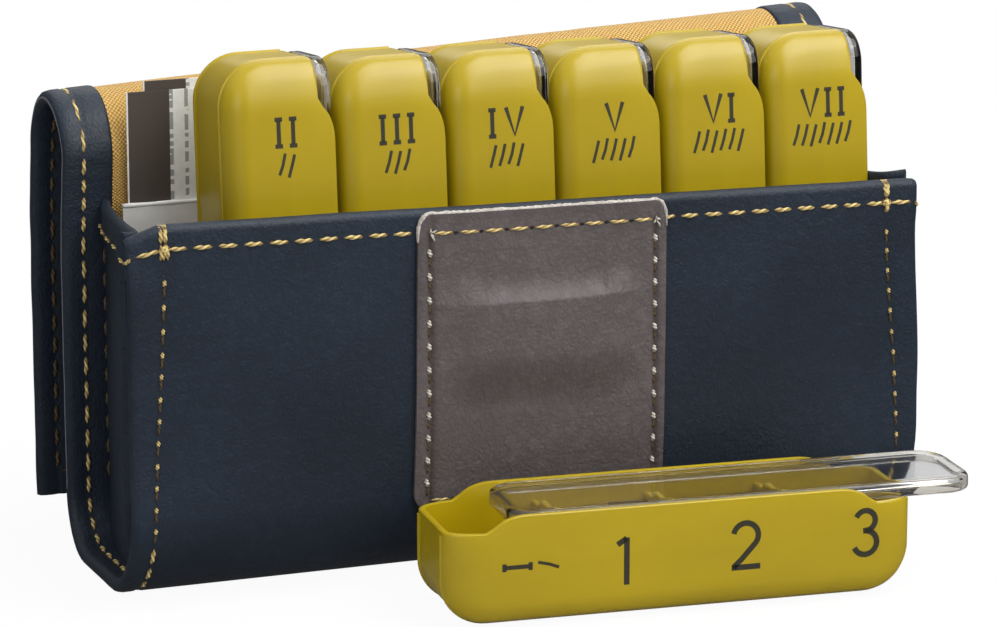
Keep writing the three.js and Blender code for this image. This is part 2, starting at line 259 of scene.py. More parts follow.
greySettings = {
    "dark": srgb(89, 82, 82),
    "light": srgb(103, 95, 95),
    # The crease colour is painted shade, laid in the creases, between the pebbles and in the seam channels
    "crease": srgb(68, 60, 58),
    "cutAndHighlight": srgb(96, 89, 89),
    "cutShare": 0.0,
    "grain": 880,
    "drawn": 0.9,
    "wander": 0.5,
    "crumple": 0.6,
    "depth": 0.2,
    "roughness": 0.52,
    "gloss": 0.34,
    # The sewn patch gets painted shade in its seam channels
    "sewn": True,
}


def leatherLook(name, settings):
    look = newLook(name)
    cloth = look.painted("cloth", "Vector")
    grain = settings["grain"]
    values = {"Vector": cloth, "Scale": grain * leather["bendShare"]}
    wobble = look.add("ShaderNodeTexNoise", {}, values, "Color")
    shift = {0: wobble, 1: (settings["wander"] * mm,) * 3, 2: cloth}
    bent = look.add("ShaderNodeVectorMath", {"operation": "MULTIPLY_ADD"}, shift)
    pebbles = look.cells(look.stretch(bent, (1, settings["drawn"], 1)), grain)
    pebbles = pebbles.ramp(0, 1, 0, leather["pebbleEdge"])
    drawn = look.stretch(bent, (1, leather["creaseDrawn"], 1))
    creases = look.cloud(drawn, grain * leather["creaseShare"], 4, 0.6)
    creases = ((creases - 0.5).size() * leather["creaseGain"]).least(1)
    fine = look.cloud(cloth, grain * leather["fineShare"])
    broad = look.cloud(cloth, leather["broad"], 3)
    height = pebbles * leather["pebbleHeight"] + creases * settings["crumple"] + fine * leather["fineHeight"]
    tint = look.blendColour(broad.ramp(0, 1, 0.3, 0.7), settings["dark"], settings["light"])
    # Painted shade: the creases' hollows take the crease colour
    tint = look.blendColour((1 - creases) * leather["creaseTint"], tint, settings["crease"])
    # Painted shade along the seam channels
    if settings["sewn"]:
        tint = look.blendColour(look.painted("channelShade"), tint, settings["crease"])
    across, along, deep = look.parts(cloth)
    # A pale line on the crown of the strip's edge: partly the cut edge, partly a painted highlight
    cutAndHighlight = across.size().above((cover["halfWidth"] - leather["cutInset"]) * mm)
    cutAndHighlight = cutAndHighlight * deep.above(leather["cutNear"] * mm) * deep.below(leather["cutFar"] * mm)
    cutAndHighlight = cutAndHighlight * along.above(backStart * mm)
    tint = look.blendColour(cutAndHighlight * settings["cutShare"], tint, settings["cutAndHighlight"])
    # Painted shade in the gaps between the pebbles
    tint = look.blendColour(pebbles.ramp(leather["pebbleTint"], 0, 0, 0.5), tint, settings["crease"])
    roughness = broad * 0.08 + settings["roughness"] - creases * 0.04
    normal = look.relief(height, settings["depth"], leather["relief"])
    return look.finish(tint, roughness, normal, settings["gloss"])


# Canvas: a plain weave laid slanting, threads over and under each other, with a painted highlight on the
# crowns and painted shade in the hollows
canvasSettings = {
    "pitch": 0.62,
    "slant": 0.7071,
    "wobble": 0.4,
    "crown": 0.45,
    "fibre": 0.25,
    # The weave's lit colour on its crowns and its colour in painted shade low down
    "high": srgb(228, 190, 114),
    "low": srgb(152, 106, 40),
    "slub": srgb(204, 160, 84),
    "depth": 0.22,
    "roughness": 0.86,
    "gloss": 0.2,
    "sheen": 0.15,
}


def canvasLook():
    look = newLook("mustardCanvas")
    cloth = look.painted("cloth", "Vector")
    wobble = look.cloud(cloth, 180) * canvasSettings["wobble"]
    along, across, depth = look.parts(cloth)
    pitch = canvasSettings["pitch"] * mm
    warp = (along + across) / pitch * canvasSettings["slant"] + wobble
    weft = (along - across) / pitch * canvasSettings["slant"] + wobble
    warpWave = (warp * math.pi).sine().size()
    weftWave = (weft * math.pi).sine().size()
    checker = ((warp.math("FLOOR") + weft.math("FLOOR")) % 2).above(0.5)
    crown = canvasSettings["crown"]
    over = warpWave * (crown + weftWave * (1 - crown))
    under = weftWave * (crown + warpWave * (1 - crown))
    height = checker * over + (1 - checker) * under
    fibres = look.cloud(look.stretch(cloth, (1, 0.25, 1)), 5200)
    slubs = look.cloud(look.stretch(cloth, (1, 0.08, 1)), 620)
    # Painted light and shade: the weave is coloured from its height
    tint = look.blendColour(height.ramp(0, 1, 0.12, 0.8), canvasSettings["low"], canvasSettings["high"])
    tint = look.blendColour(slubs.ramp(0, 0.5, 0.45, 0.75), tint, canvasSettings["slub"])
    normal = look.relief(height + fibres * canvasSettings["fibre"], canvasSettings["depth"], 0.9)
    roughness = canvasSettings["roughness"] + fibres * 0.08
    return look.finish(tint, roughness, normal, canvasSettings["gloss"], canvasSettings["sheen"])


# Thread: two plies, with a painted highlight on their crowns and painted shade between them and where they
# dive into the leather
threadSettings = {
    # Each thread's lit colour, then its colour in painted shade
    "gold": (srgb(238, 212, 140), srgb(84, 54, 20)),
    "pale": (srgb(236, 232, 220), srgb(104, 88, 66)),
    # Thread in painted shade, for stitches that lie in shadow
    "dim": (srgb(104, 84, 52), srgb(40, 31, 22)),
    "roughness": 0.45,
    "gloss": 0.35,
    "fuzz": 0.1,
}


def threadLook(kind):
    bright, dark = threadSettings[kind]
    look = newLook(kind + "Thread")
    spot = look.place()
    fuzz = look.cloud(spot, 2600, 3)
    litWobble = look.cloud(spot, 380)
    # Painted light: the shade attribute blends from the shaded colour to the lit one, a little uneven
    lit = (look.painted("shade") * (0.7 + litWobble * 0.6)).least(1)
    tint = look.blendColour(lit, dark, bright)
    tint = look.blendColour(fuzz.ramp(0, 0.35, 0.4, 0.8), tint, dark)
    normal = look.relief(fuzz, threadSettings["fuzz"], 0.8)
    return look.finish(tint, threadSettings["roughness"] + fuzz * 0.2, normal, threadSettings["gloss"])


# Moulded plastic of the trays, satin, with a faint skin texture
yellowSettings = {
    "body": srgb(178, 154, 8),
    "deep": srgb(168, 144, 4),
    "roughness": 0.25,
    "gloss": 0.56,
    "skin": 0.012,
}


def trayLook():
    look = newLook("trayYellow")
    spot = look.place()
    skin = look.cloud(spot, 1500)
    flow = look.cloud(look.stretch(spot, (0.3, 1, 1)), 70, 3)
    tint = look.blendColour(flow.ramp(0, 1, 0.35, 0.7), yellowSettings["body"], yellowSettings["deep"])
    roughness = flow * 0.1 + skin * 0.05 + yellowSettings["roughness"]
    normal = look.relief(skin, yellowSettings["skin"], 0.6)
    return look.finish(tint, roughness, normal, yellowSettings["gloss"])


# Clear plastic of the lids, with faint rub marks and a dusky rim
clearSettings = {
    "body": grey(0.98),
    "rim": (0.66, 0.63, 0.57, 1),
    "shadow": (0.9, 0.9, 0.88, 1),
    "bend": 1.46,
    "waves": 0.08,
}


def lidLook():
    look = newLook("lidClear")
    spot = look.place()
    rubs = look.cloud(look.stretch(spot, (1, 6, 1)), 120, 4)
    plastic = look.add("ShaderNodeBsdfPrincipled", {}, {
        "Base Color": look.blendColour(look.painted("rim"), clearSettings["body"], clearSettings["rim"]),
        "Roughness": rubs.ramp(0.02, 0.09, 0.35, 0.8),
        "Normal": look.relief(look.cloud(spot, 60), clearSettings["waves"], 0.35),
        "Transmission Weight": 1.0,
        "IOR": clearSettings["bend"],
    })
    passing = look.add("ShaderNodeBsdfTransparent", {}, {"Color": clearSettings["shadow"]})
    return look.close(look.blendShader(look.ray("Is Shadow Ray"), plastic, passing))


def plainLook(name, first, second, roughness, scale, depth, metal=0.0):
    look = newLook(name)
    grain = look.cloud(look.place(), scale, 3)
    tint = look.blendColour(grain.ramp(0, 1, 0.35, 0.65), first, second)
    return look.finish(tint, roughness + grain * 0.08, look.relief(grain, depth, 0.6), metal=metal)


# A card: pale board with a printed dark band down its left side and plain grey lines
cardSettings = {
    "board": srgb(244, 244, 241),
    "boardLow": srgb(236, 236, 232),
    "ink": srgb(120, 120, 118),
    "inkShare": 0.75,
    "band": srgb(78, 70, 64),
    "bandWidth": 8.8,
    "edge": 0.25,
    "linePitch": 3.1,
    "lineShare": 0.24,
    "dashLevel": 0.47,
}


def cardLook(name, left):
    look = newLook(name)
    spot = look.place()
    grain = look.cloud(spot, 900)
    x, y, z = look.parts(spot)
    bandEnd = left + cardSettings["bandWidth"]
    inBand = x.below(bandEnd * mm)
    border = x.below((left + cardSettings["edge"]) * mm)
    lines = ((x / mm - bandEnd) / cardSettings["linePitch"] % 1).below(cardSettings["lineShare"])
    dashes = look.cloud(look.stretch(spot, (0.2, 0, 1)), 900, 0).above(cardSettings["dashLevel"])
    printed = lines * dashes * (1 - inBand)
    tint = look.blendColour(grain.ramp(0, 1, 0.3, 0.7), cardSettings["board"], cardSettings["boardLow"])
    tint = look.blendColour(printed * cardSettings["inkShare"], tint, cardSettings["ink"])
    tint = look.blendColour(inBand * (1 - border), tint, cardSettings["band"])
    return look.finish(tint, 0.5 + grain * 0.1, look.relief(grain, 0.02, 0.5))


# Meshes
def makePiece(name, points, faces, material, slot=None, crease=None):
    mesh = bpy.data.meshes.new(name)
    mesh.from_pydata([tuple(value * mm for value in point) for point in points], [], faces)
    work = bmesh.new()
    work.from_mesh(mesh)
    bmesh.ops.recalc_face_normals(work, faces=work.faces)
    work.to_mesh(mesh)
    work.free()
    mesh.materials.append(material)
    for polygon in mesh.polygons:
        polygon.use_smooth = True
    if crease:
        mesh.set_sharp_from_angle(angle=math.radians(crease))
    return placePiece(name, mesh, slot)


def placePiece(name, mesh, slot=None):
    piece = bpy.data.objects.new(name, mesh)
    scene.collection.objects.link(piece)
    return piece


# Faces between rings of equal length, closed round each ring and capped at both ends
def ringFaces(rings, size, offset=0):
    faces = []
    for ring in range(rings - 1):
        for place in range(size):
            after = (place + 1) % size
            a = offset + ring * size
            b = a + size
            faces.append((a + place, a + after, b + after, b + place))
    last = offset + (rings - 1) * size
    faces.append(tuple(range(offset + size - 1, offset - 1, -1)))
    faces.append(tuple(range(last, last + size)))
    return faces


# Where each point lies on the flat cloth, for the grain and the weave
def tagCloth(piece, places):
    attribute = piece.data.attributes.new("cloth", "FLOAT_VECTOR", "POINT")
    attribute.data.foreach_set("vector", [value * mm for place in places for value in place])


def tagPoints(piece, name, values):
    piece.data.attributes.new(name, "FLOAT", "POINT").data.foreach_set("value", values)


# The cover's strip, followed along its leather face from the pocket's inner hem to the flap's edge
leatherLow, leatherHigh = boxOf("cover_leather")
mouthLow, mouthHigh = boxOf("mouth_hem")
cover = {
    "halfWidth": leatherHigh.x,
    "front": leatherLow.y,
    "back": -leatherLow.y,
    "mouth": mouthHigh.z,
    "mouthRadius": (mouthHigh.y - mouthLow.y) / 2,
    "foldTop": boxOf("fold_2_lining")[1].z,
    "flapEnd": boxOf("flap_front_leather")[0].z,
    "frontBend": 19,
    "backBend": 13,
    "foldInner": 10.2,
    "thickness": 2.6,
    "skin": 1.65,
    "hemDepth": 2.85,
    "hemWidth": 10.2,
    "flapHem": 10.2,
    "innerHem": 8.5,
    "edgeRadius": 1.4,
    "edgeMargin": 0.3,
    "faceColumns": 12,
    "hemLip": [(0.7, 0), (0.2, 0.15), (0, 0.5)],  # how far past the hem's edge, and drop
    "innerGroove": 1,
    "liningNear": 1.72,
    "liningFar": 2.4,
    "liningGap": 0.06,
    "liningTuck": 10.5,
    "seamGroove": 0.28,
    "groove": [(-1.1, 0), (-0.45, 0.7), (0, 1), (0.45, 0.7), (1.1, 0)],  # across, and share of the depth
    "seamX": 78.2,
    "seamTopX": 75.3,
    "seamSettle": 14,
    "mouthSeam": 4.5,
    "innerSeam": 4.2,
    "endSeam": 5,
    "thinTo": 5,
    "fullFrom": 9,
    "rowPitch": 2.6,
    "bendPitch": 1.2,
    "smooth": 50,
}


class Strip:
    def __init__(self):
        self.pieces = []
        self.starts = []
        self.length = 0.0

    def put(self, kind, length, data):
        self.starts.append(self.length)
        self.pieces.append((kind, length, data))
        self.length += length

    def line(self, start, end, across):
        self.put("line", math.dist(start, end), (start, end, across))

    def arc(self, centre, radius, fromAngle, toAngle, side):
        self.put("arc", radius * abs(toAngle - fromAngle), (centre, radius, fromAngle, toAngle, side))

    def pieceAt(self, along):
        return max(0, min(len(self.pieces) - 1, bisect.bisect_right(self.starts, along) - 1))

    def at(self, along):
        index = self.pieceAt(along)
        kind, length, data = self.pieces[index]
        share = (along - self.starts[index]) / length
        if kind == "line":
            start, end, across = data
            return mix(start[0], end[0], share), mix(start[1], end[1], share), across[0], across[1]
        centre, radius, fromAngle, toAngle, side = data
        angle = mix(fromAngle, toAngle, share)
        out = (math.cos(angle), math.sin(angle))
        return centre[0] + radius * out[0], centre[1] + radius * out[1], side * out[0], side * out[1]


foldCentreZ = cover["foldTop"] - cover["foldInner"] - cover["thickness"]


def layStrip():
    strip = Strip()
    front, back, roll = cover["front"], cover["back"], cover["mouthRadius"]
    r, b, f = cover["frontBend"], cover["backBend"], cover["foldInner"]
    rollZ = cover["mouth"] - roll
    strip.line((front + 2 * roll, rollZ - cover["innerHem"]), (front + 2 * roll, rollZ), (-1, 0))
    strip.arc((front + roll, rollZ), roll, 0, math.pi, -1)
    strip.line((front, rollZ), (front, r), (1, 0))
    strip.arc((front + r, r), r, math.pi, 1.5 * math.pi, -1)
    strip.line((front + r, 0), (back - b, 0), (0, 1))
    strip.arc((back - b, b), b, 1.5 * math.pi, 2 * math.pi, -1)
    strip.line((back, b), (back, foldCentreZ), (-1, 0))
    strip.arc((back + f, foldCentreZ), f, math.pi, 0, 1)
    strip.line((back + 2 * f, foldCentreZ), (back + 2 * f, cover["flapEnd"]), (1, 0))
    return strip


strip = layStrip()
rollStart, frontStart, frontBendStart = strip.starts[1:4]
backStart, foldStart, flapStart = strip.starts[6:]
mouthRow = frontStart - cover["mouthRadius"] + cover["mouthSeam"]

navyLeather = leatherLook("navyLeather", navySettings)
greyLeather = leatherLook("greyLeather", greySettings)
canvas = canvasLook()
goldThread = threadLook("gold")
paleThread = threadLook("pale")
shadedThread = threadLook("dim")
trayYellow = trayLook()
lidClear = lidLook()
ink = plainLook("printedInk", srgb(46, 44, 30), srgb(54, 51, 34), 0.6, 1800, 0.01)
rawEdge = plainLook("rawLeatherEdge", srgb(206, 200, 192), srgb(168, 160, 152), 0.8, 1600, 0.3)
# Stitch holes are dark marks of painted shade
holeShade = plainLook("stitchHole", srgb(20, 18, 18), srgb(34, 28, 24), 0.8, 1500, 0.05)
sleeveFilm = plainLook("sleeveFilm", srgb(250, 250, 249), srgb(242, 242, 241), 0.32, 260, 0.05)
filmEdge = plainLook("sleeveEdge", srgb(244, 244, 243), srgb(230, 230, 229), 0.3, 400, 0.04)
platedSteel = plainLook("platedSteel", (0.55, 0.55, 0.56, 1), (0.48, 0.48, 0.5, 1), 0.28, 900, 0.01, 1.0)
print("materials ready")


# The small slants and swells of a sewn case that has been handled
handled = {
    "foldSkew": 4.2,
    "foldSag": 1.6,
    "foldSlide": 1.6,
    "foldForward": 2.4,
    "mouthSkew": 1.5,
    "sideBulge": 1.4,
    "rollCurl": 2.8,
    "leftSlideShare": 0.4,
    "curlForward": 0.5,
    "bow": 0.5,
    "swell": 0.7,
    "swellScale": (0.02, 0.03),  # along X and Z, waves per mm
    "backSwellShare": 0.5,
    "ripple": 0.2,
    "rippleScale": (0.11, 0.11, 0.05),
    "rippleUp": 0.5,
    "rippleForward": 0.4,
}
zones = {
    "behind": (14, 23),  # from front to back
    "ahead": (-17, -12),
    "fold": (62, 92),  # from the table upwards
    "mouth": (48, 74),
    "curl": (62, 76),
    "foot": (3, 20),
    "ground": (0.5, 3),
    "seamFoot": (0.3, 4),
    "bow": (8, 30),
    "bulge": (2, 22),
    "bulgeEnd": (30, 66),
    "rightHalf": (0.2, 1),  # from the middle to the side, in half widths
    "slide": (-1, 0.5),
    "rightSide": (0.8, 1),
    "leftSide": (0.91, 1.01),
}


def within(value, zone):
    return ease(value, *zones[zone])


def settle(point):
    x, y, z = point
    side = x / cover["halfWidth"]
    behind, before, foot = within(y, "behind"), 1 - within(y, "ahead"), within(z, "foot")
    high = within(z, "fold") * behind
    lift = (handled["foldSkew"] * side - handled["foldSag"]) * high
    lift -= handled["mouthSkew"] * side * within(z, "mouth") * before
    a, b = handled["swellScale"]
    swell = cloudAt(x * a, z * b, 3.1) * handled["swell"]
    a, b, c = handled["rippleScale"]
    ripple = cloudAt(x * a, z * b, y * c + 7.7) * handled["ripple"]
    bow = (1 - side * side) * handled["bow"] * within(z, "bow")
    push = (swell - bow) * before * foot + swell * handled["backSwellShare"] * behind * foot
    push -= handled["foldForward"] * within(side, "rightHalf") * high
    slide = handled["foldSlide"] * mix(handled["leftSlideShare"], 1, within(side, "slide")) * high
    bulge = handled["sideBulge"] * within(side, "rightSide") * within(z, "bulge")
    slide += bulge * (1 - within(z, "bulgeEnd"))
    curl = handled["rollCurl"] * within(-side, "leftSide") * within(z, "curl") * before
    push += curl * handled["curlForward"]
    newX = x + slide + ripple * abs(side) ** 6
    newY = y + (push + ripple * handled["rippleForward"]) * within(z, "ground")
    return Vector((newX, newY, z + lift - curl + ripple * handled["rippleUp"] * foot))


# The strip is drawn at half its depth up to a little below the mouth
def depthShare(along):
    return mix(0.5, 1, ease(along, frontStart + cover["thinTo"], frontStart + cover["fullFrom"]))


def straightPoint(along, x, depth):
    y, z, acrossY, acrossZ = strip.at(along)
    depth *= depthShare(along)
    return Vector((x, y + acrossY * depth, z + acrossZ * depth))


def coverPoint(along, x, depth):
    return settle(straightPoint(along, x, depth))


def seamAt(along):
    share = ease(along, frontStart, frontBendStart + cover["seamSettle"])
    return mix(cover["seamTopX"], cover["seamX"], share)


# Where the leather's section goes round: across the outer face, over an edge, along its hem and back inside
def leatherSection(along):
    half, skin, hemDepth = cover["halfWidth"], cover["skin"], cover["hemDepth"]
    seam, edge, groove = seamAt(along), cover["edgeRadius"], cover["seamGroove"]
    inner = half - cover["hemWidth"]
    turnStart = half - edge - cover["edgeMargin"]
    columns, wide = cover["faceColumns"], cover["innerGroove"]
    right = [(column * inner / columns, 0) for column in range(columns + 1)]
    right += [(seam + across, groove * share) for across, share in cover["groove"]]
    right.append((turnStart, 0))
    for step in range(1, 6):
        turn = math.pi * step / 6
        right.append((half - edge + edge * math.sin(turn), (1 - math.cos(turn)) * hemDepth / 2))
    right += [(turnStart, hemDepth), (seam + wide, hemDepth)]
    right += [(seam, hemDepth - groove), (seam - wide, hemDepth)]
    right += [(inner + past, hemDepth - drop) for past, drop in cover["hemLip"]]
    right += [(inner * share, skin) for share in (1, 0.75, 0.5, 0.25)]
    left = [(-x, depth) for x, depth in reversed(right[1:])]
    return right + [(0, skin)] + left


# A flat band across the strip, the same all along
def flatSection(half, near, far, columns):
    top = [(mix(-half, half, n / columns), far) for n in range(columns + 1)]
    low = [(mix(half, -half, n / columns), near) for n in range(columns + 1)]
    return lambda along: top + low


def rowsBetween(start, end, pitch):
    marks = sorted({start, end, *[m for m in strip.starts if start < m < end]})
    rows = [start]
    for a, b in zip(marks, marks[1:]):
        kind, length, data = strip.pieces[strip.pieceAt((a + b) / 2)]
        step = min(pitch, data[1] * 0.16) if kind == "arc" else pitch
        count = max(1, math.ceil((b - a) / step))
        rows += [mix(a, b, n / count) for n in range(1, count + 1)]
    return rows


def sweepStrip(name, start, end, section, material, slot, pitch=cover["rowPitch"], spot=coverPoint):
    rows = rowsBetween(start, end, pitch)
    points, places = [], []
    for along in rows:
        outline = section(along)
        points += [spot(along, x, depth) for x, depth in outline]
        places += [(x, along, depth) for x, depth in outline]
    piece = makePiece(name, points, ringFaces(len(rows), len(outline)), material, slot, cover["smooth"])
    tagCloth(piece, places)
    return piece


def sweepLeather(name, start, end, *bending):
    return sweepStrip(name, start, end, leatherSection, navyLeather, "navy_leather", *bending)


def sweepLining(name, start, end, *bending):
    half = cover["halfWidth"] - cover["hemWidth"] - cover["liningGap"]
    section = flatSection(half, cover["liningNear"], cover["liningFar"], 30)
    return sweepStrip(name, start, end, section, canvas, "canvas", *bending)


# The flap's closing hem: the turned end that runs across the lining
endHem = {"lap": 0.4, "columns": 24, "startGap": 0.1, "endGap": 0.5}


def buildEndHem():
    half = cover["halfWidth"] - cover["hemWidth"] + endHem["lap"]
    far = cover["thickness"] - cover["liningGap"]
    section = flatSection(half, cover["liningNear"], far, endHem["columns"])
    start, end = strip.length - cover["flapHem"] + endHem["startGap"], strip.length - endHem["endGap"]
    hem = sweepStrip("flap_end_hem", start, end, section, navyLeather, "navy_leather")
    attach(hem, "flap_front")


# Thread: each stitch is an arched two-ply twist whose ends dive into the leather
stitchSettings = {
    "pitch": 5.0,
    "fill": 0.8,
    "jitter": 0.12,
    "radius": 0.38,
    "arch": 0.3,
    "dive": 0.12,
    "rings": 11,
    "sides": 8,
    "turns": 2.2,
    "ply": 0.28,
    "endSlim": 0.3,
    "slimBend": 0.55,
    "shadeBend": 0.6,
    "shadeLift": 0.22,
    "rowSink": 0.6,  # how far a row lies in the seam's groove, as a share of its depth
    "footSink": 0.6,
    "lie": 0.02,
}


class Thread:
    def __init__(self, name, material):
        self.name = name
        self.material = material
        self.points = []
        self.faces = []
        self.shades = []
        self.random = random.Random(name)

    def stitch(self, start, end, normal, radius=stitchSettings["radius"], arch=stitchSettings["arch"]):
        rings, sides, turns = stitchSettings["rings"], stitchSettings["sides"], stitchSettings["turns"]
        run = end - start
        way = run.normalized()
        normal = (normal - way * normal.dot(way)).normalized()
        side = way.cross(normal)
        phase = self.random.uniform(0, math.pi)
        first = len(self.points)
        for ring in range(rings):
            share = ring / (rings - 1)
            rise = math.sin(math.pi * share)
            slim = mix(stitchSettings["endSlim"], 1, rise ** stitchSettings["slimBend"])
            middle = start + run * share + normal * (arch * rise - stitchSettings["dive"])
            for angle in circle(sides):
                crown = math.cos(2 * angle - phase - turns * 2 * math.pi * share)
                reach = radius * slim * (1 + stitchSettings["ply"] * crown)
                out = side * (math.cos(angle) * reach)
                # Painted light: lit on the plies' crowns, shaded between them and towards the stitch's ends
                shade = (0.5 + 0.5 * crown) * rise ** stitchSettings["shadeBend"]
                self.shades.append(min(1, shade + stitchSettings["shadeLift"] * rise))
                self.points.append(middle + out + normal * (math.sin(angle) * reach))
        self.faces += ringFaces(rings, sides, first)

    # A row along a line given as a function of distance, which gives a point and the way out of the surface
    def row(self, line, length, pitch=stitchSettings["pitch"], fill=stitchSettings["fill"], **shape):
        count = max(1, round(length / pitch))
        step = length / count
        jitter = stitchSettings["jitter"]
        for number in range(count):
            start = (number + (1 - fill) / 2) * step + self.random.uniform(-jitter, jitter)
            end = start + fill * step
            (a, normal), (b, otherNormal) = line(start), line(min(end, length))
            self.stitch(a, b, normal + otherNormal, **shape)
        return [(number + 1) * step for number in range(count)]

    def make(self, body=None):
        piece = makePiece(self.name, self.points, self.faces, self.material)
        tagPoints(piece, "shade", self.shades)
        if body:
            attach(piece, body)
        return piece


def outward(along, depth):
    y, z, acrossY, acrossZ = strip.at(along)
    side = -1 if depth <= cover["skin"] / 2 else 1
    return Vector((0, acrossY * side, acrossZ * side))


# The seams under the case lie deeper, so that nothing reaches below the table
def seamLine(start, side, depth, lift, spot=coverPoint):
    def line(distance):
        along = start + distance
        sunk = stitchSettings["footSink"] * (1 - within(strip.at(along)[1], "seamFoot")) if depth == 0 else 0
        return spot(along, side * seamAt(along), depth + lift + sunk), outward(along, depth)
    return line


# Upright seams drawn tight: only each stitch's head shows bright, on a thin tail in painted shade
tightSeam = {
    "pitch": 4.2,
    "sink": 0.55,
    "lead": (0.3, 0.6),
    "markShares": (0, 0.3, 0.78),  # where the head starts, the neck and the tail's end
    "tailShare": 0.7,
    "head": (0.34, 0.24),  # radius and arch
    "tail": (0.24, 0.06),
}


def addTightSeam(bright, dim, start, end, side):
    line = seamLine(start, side, 0, cover["seamGroove"] * tightSeam["sink"])
    count = round((end - start) / tightSeam["pitch"])
    step = (end - start) / count
    for number in range(count):
        top = number * step + bright.random.uniform(*tightSeam["lead"])
        (head, out), (neck, _), (tail, _) = [line(top + share * step) for share in tightSeam["markShares"]]
        bright.stitch(head, neck, out, *tightSeam["head"])
        dim.stitch(head.lerp(neck, tightSeam["tailShare"]), tail, out, *tightSeam["tail"])


def addSeams(thread, start, end, faces, spot=coverPoint):
    sunk = cover["seamGroove"] * stitchSettings["rowSink"]
    for side in (-1, 1):
        if "out" in faces:
            thread.row(seamLine(start, side, 0, sunk, spot), end - start)
        if "in" in faces:
            thread.row(seamLine(start, side, cover["hemDepth"], -sunk, spot), end - start)


# The flap's seven sections, each with one hinge
hinges = {joint["name"]: joint for joint in frame["joints"] if joint["type"] == "hinge"}
bendNames = [f"fold_bend_{number}" for number in range(1, 6)] + ["flap_crease_upper", "flap_crease_lower"]
sectionNames = ["fold_1", "fold_2", "fold_3", "fold_4", "flap_top", "flap_slope", "flap_front"]
bends = {
    "foldShares": [0.1, 0.3, 0.5, 0.7, 0.9],
    "cutShares": [0.2, 0.4, 0.6, 0.8],
    "foldReach": 2.9,
    "creaseReach": 3.6,
    "backDrop": 4.5,
    "flapTop": 4.2,
}
foldLength = flapStart - foldStart
bendMarks = [foldStart + share * foldLength for share in bends["foldShares"]]
bendMarks += [flapStart + foldCentreZ - hinges[name]["pos_m"][2] / mm for name in bendNames[5:]]
backTop = foldStart - bends["backDrop"]
sectionEnds = [backTop] + [foldStart + share * foldLength for share in bends["cutShares"]]
sectionEnds += [flapStart + bends["flapTop"], (bendMarks[5] + bendMarks[6]) / 2, strip.length]


# A bending piece is made on the straight strip and then settled
def bendOver(piece, index):
    joint = hinges[bendNames[index]]
    along = bendMarks[index]
    before, after = strip.at(along - 0.5), strip.at(along + 0.5)
    way = Vector((0, after[0] - before[0], after[1] - before[1])).normalized()
    reach = bends["foldReach"] if index < 5 else bends["creaseReach"]
    middle = Vector([value / mm for value in joint["pos_m"]])
    start, end = (middle - way * reach) * mm, (middle + way * reach) * mm
    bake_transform(piece)
    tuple(start)
    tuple(end)
    for vertex in piece.data.vertices:
        vertex.co = settle(vertex.co / mm) * mm


def liningLength(start, end):
    far = [coverPoint(along, 0, cover["liningFar"]) for along in rowsBetween(start, end, 1.0)]
    return sum((b - a).length for a, b in zip(far, far[1:]))


endSeam = {"outerSink": 0.1, "innerSink": -0.42, "radius": 0.3, "arch": 0.12}


def addEndSeam(outer, inner, along):
    width = 2 * cover["seamX"]
    rows = [(outer, 0, endSeam["outerSink"]), (inner, cover["thickness"], endSeam["innerSink"])]
    for thread, depth, lift in rows:
        def line(distance, depth=depth, lift=lift):
            return straightPoint(along, distance - width / 2, depth + lift), outward(along, depth)
        thread.row(line, width, radius=endSeam["radius"], arch=endSeam["arch"])


# Past the fold, the seams of the flap's outer face are drawn in painted shade, a darker thread colour
def addBendThread(index, start, end, last):
    thread = Thread(f"seam_thread_bend_{index + 1}", goldThread)
    outer = Thread(f"seam_thread_outer_{index + 1}", shadedThread) if index > 3 else thread
    reach = end - (cover["endSeam"] if last else 0)
    addSeams(outer, start, reach, ("out",), straightPoint)
    addSeams(thread, start, reach, ("in",), straightPoint)
    if last:
        addEndSeam(outer, thread, reach)
    bendOver(thread.make(), index)
    if outer is not thread:
        bendOver(outer.make(), index)


def buildCover():
    liningStart = frontStart + cover["liningTuck"]
    body = sweepLeather("cover_shell", 0, backTop)
    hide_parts("cover_leather", "side_hem_left", "side_hem_right", "mouth_hem")
    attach(body, "case")
    lining = sweepLining("lining_pocket", liningStart, backTop)
    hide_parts("cover_lining")
    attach(lining, "case")
    bending = (cover["bendPitch"], straightPoint)
    for index, section in enumerate(sectionNames):
        start, end = sectionEnds[index], sectionEnds[index + 1]
        last = section == sectionNames[-1]
        leatherPiece = sweepLeather(f"cover_bend_{index + 1}", start, end, *bending)
        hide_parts(f"{section}_leather")
        bendOver(leatherPiece, index)
        liningEnd = end - cover["flapHem"] if last else end
        cloth = sweepLining(f"lining_bend_{index + 1}", start, liningEnd, *bending)
        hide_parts(f"{section}_lining")
        bendOver(cloth, index)
        length = liningLength(start, liningEnd)
        addBendThread(index, start, end, last)
    liningLength(liningStart, backTop)
    buildEndHem()


buildCover()
print("cover strip built")


# The pocket's own seams: sides, mouth row and the tacks at its corners
pocketThread = {
    "outerX": 81.6,
    "tackAboveRoll": (-2.6, 0.8, 3.8),
    "tackBelowRoll": (1.8, 5.0),
    "tackRadius": 0.36,
    "knotRadius": 0.5,
    "sideFrom": 5.2,
    "looseFrom": 6,
    "strands": (-0.5, 0.15, 0.65),
    "strandDrift": 0.35,
    "strandDepth": -0.12,
    "knotDepth": -0.3,
    "knotWidth": 0.9,
    "knotTurns": (0.5, -0.6),
}


def addMouthRow(thread, along, left, right):
    def line(distance):
        return coverPoint(along, left + distance, stitchSettings["lie"]), outward(along, 0)
    thread.row(line, right - left)


ahead = Vector((0, -1, 0))


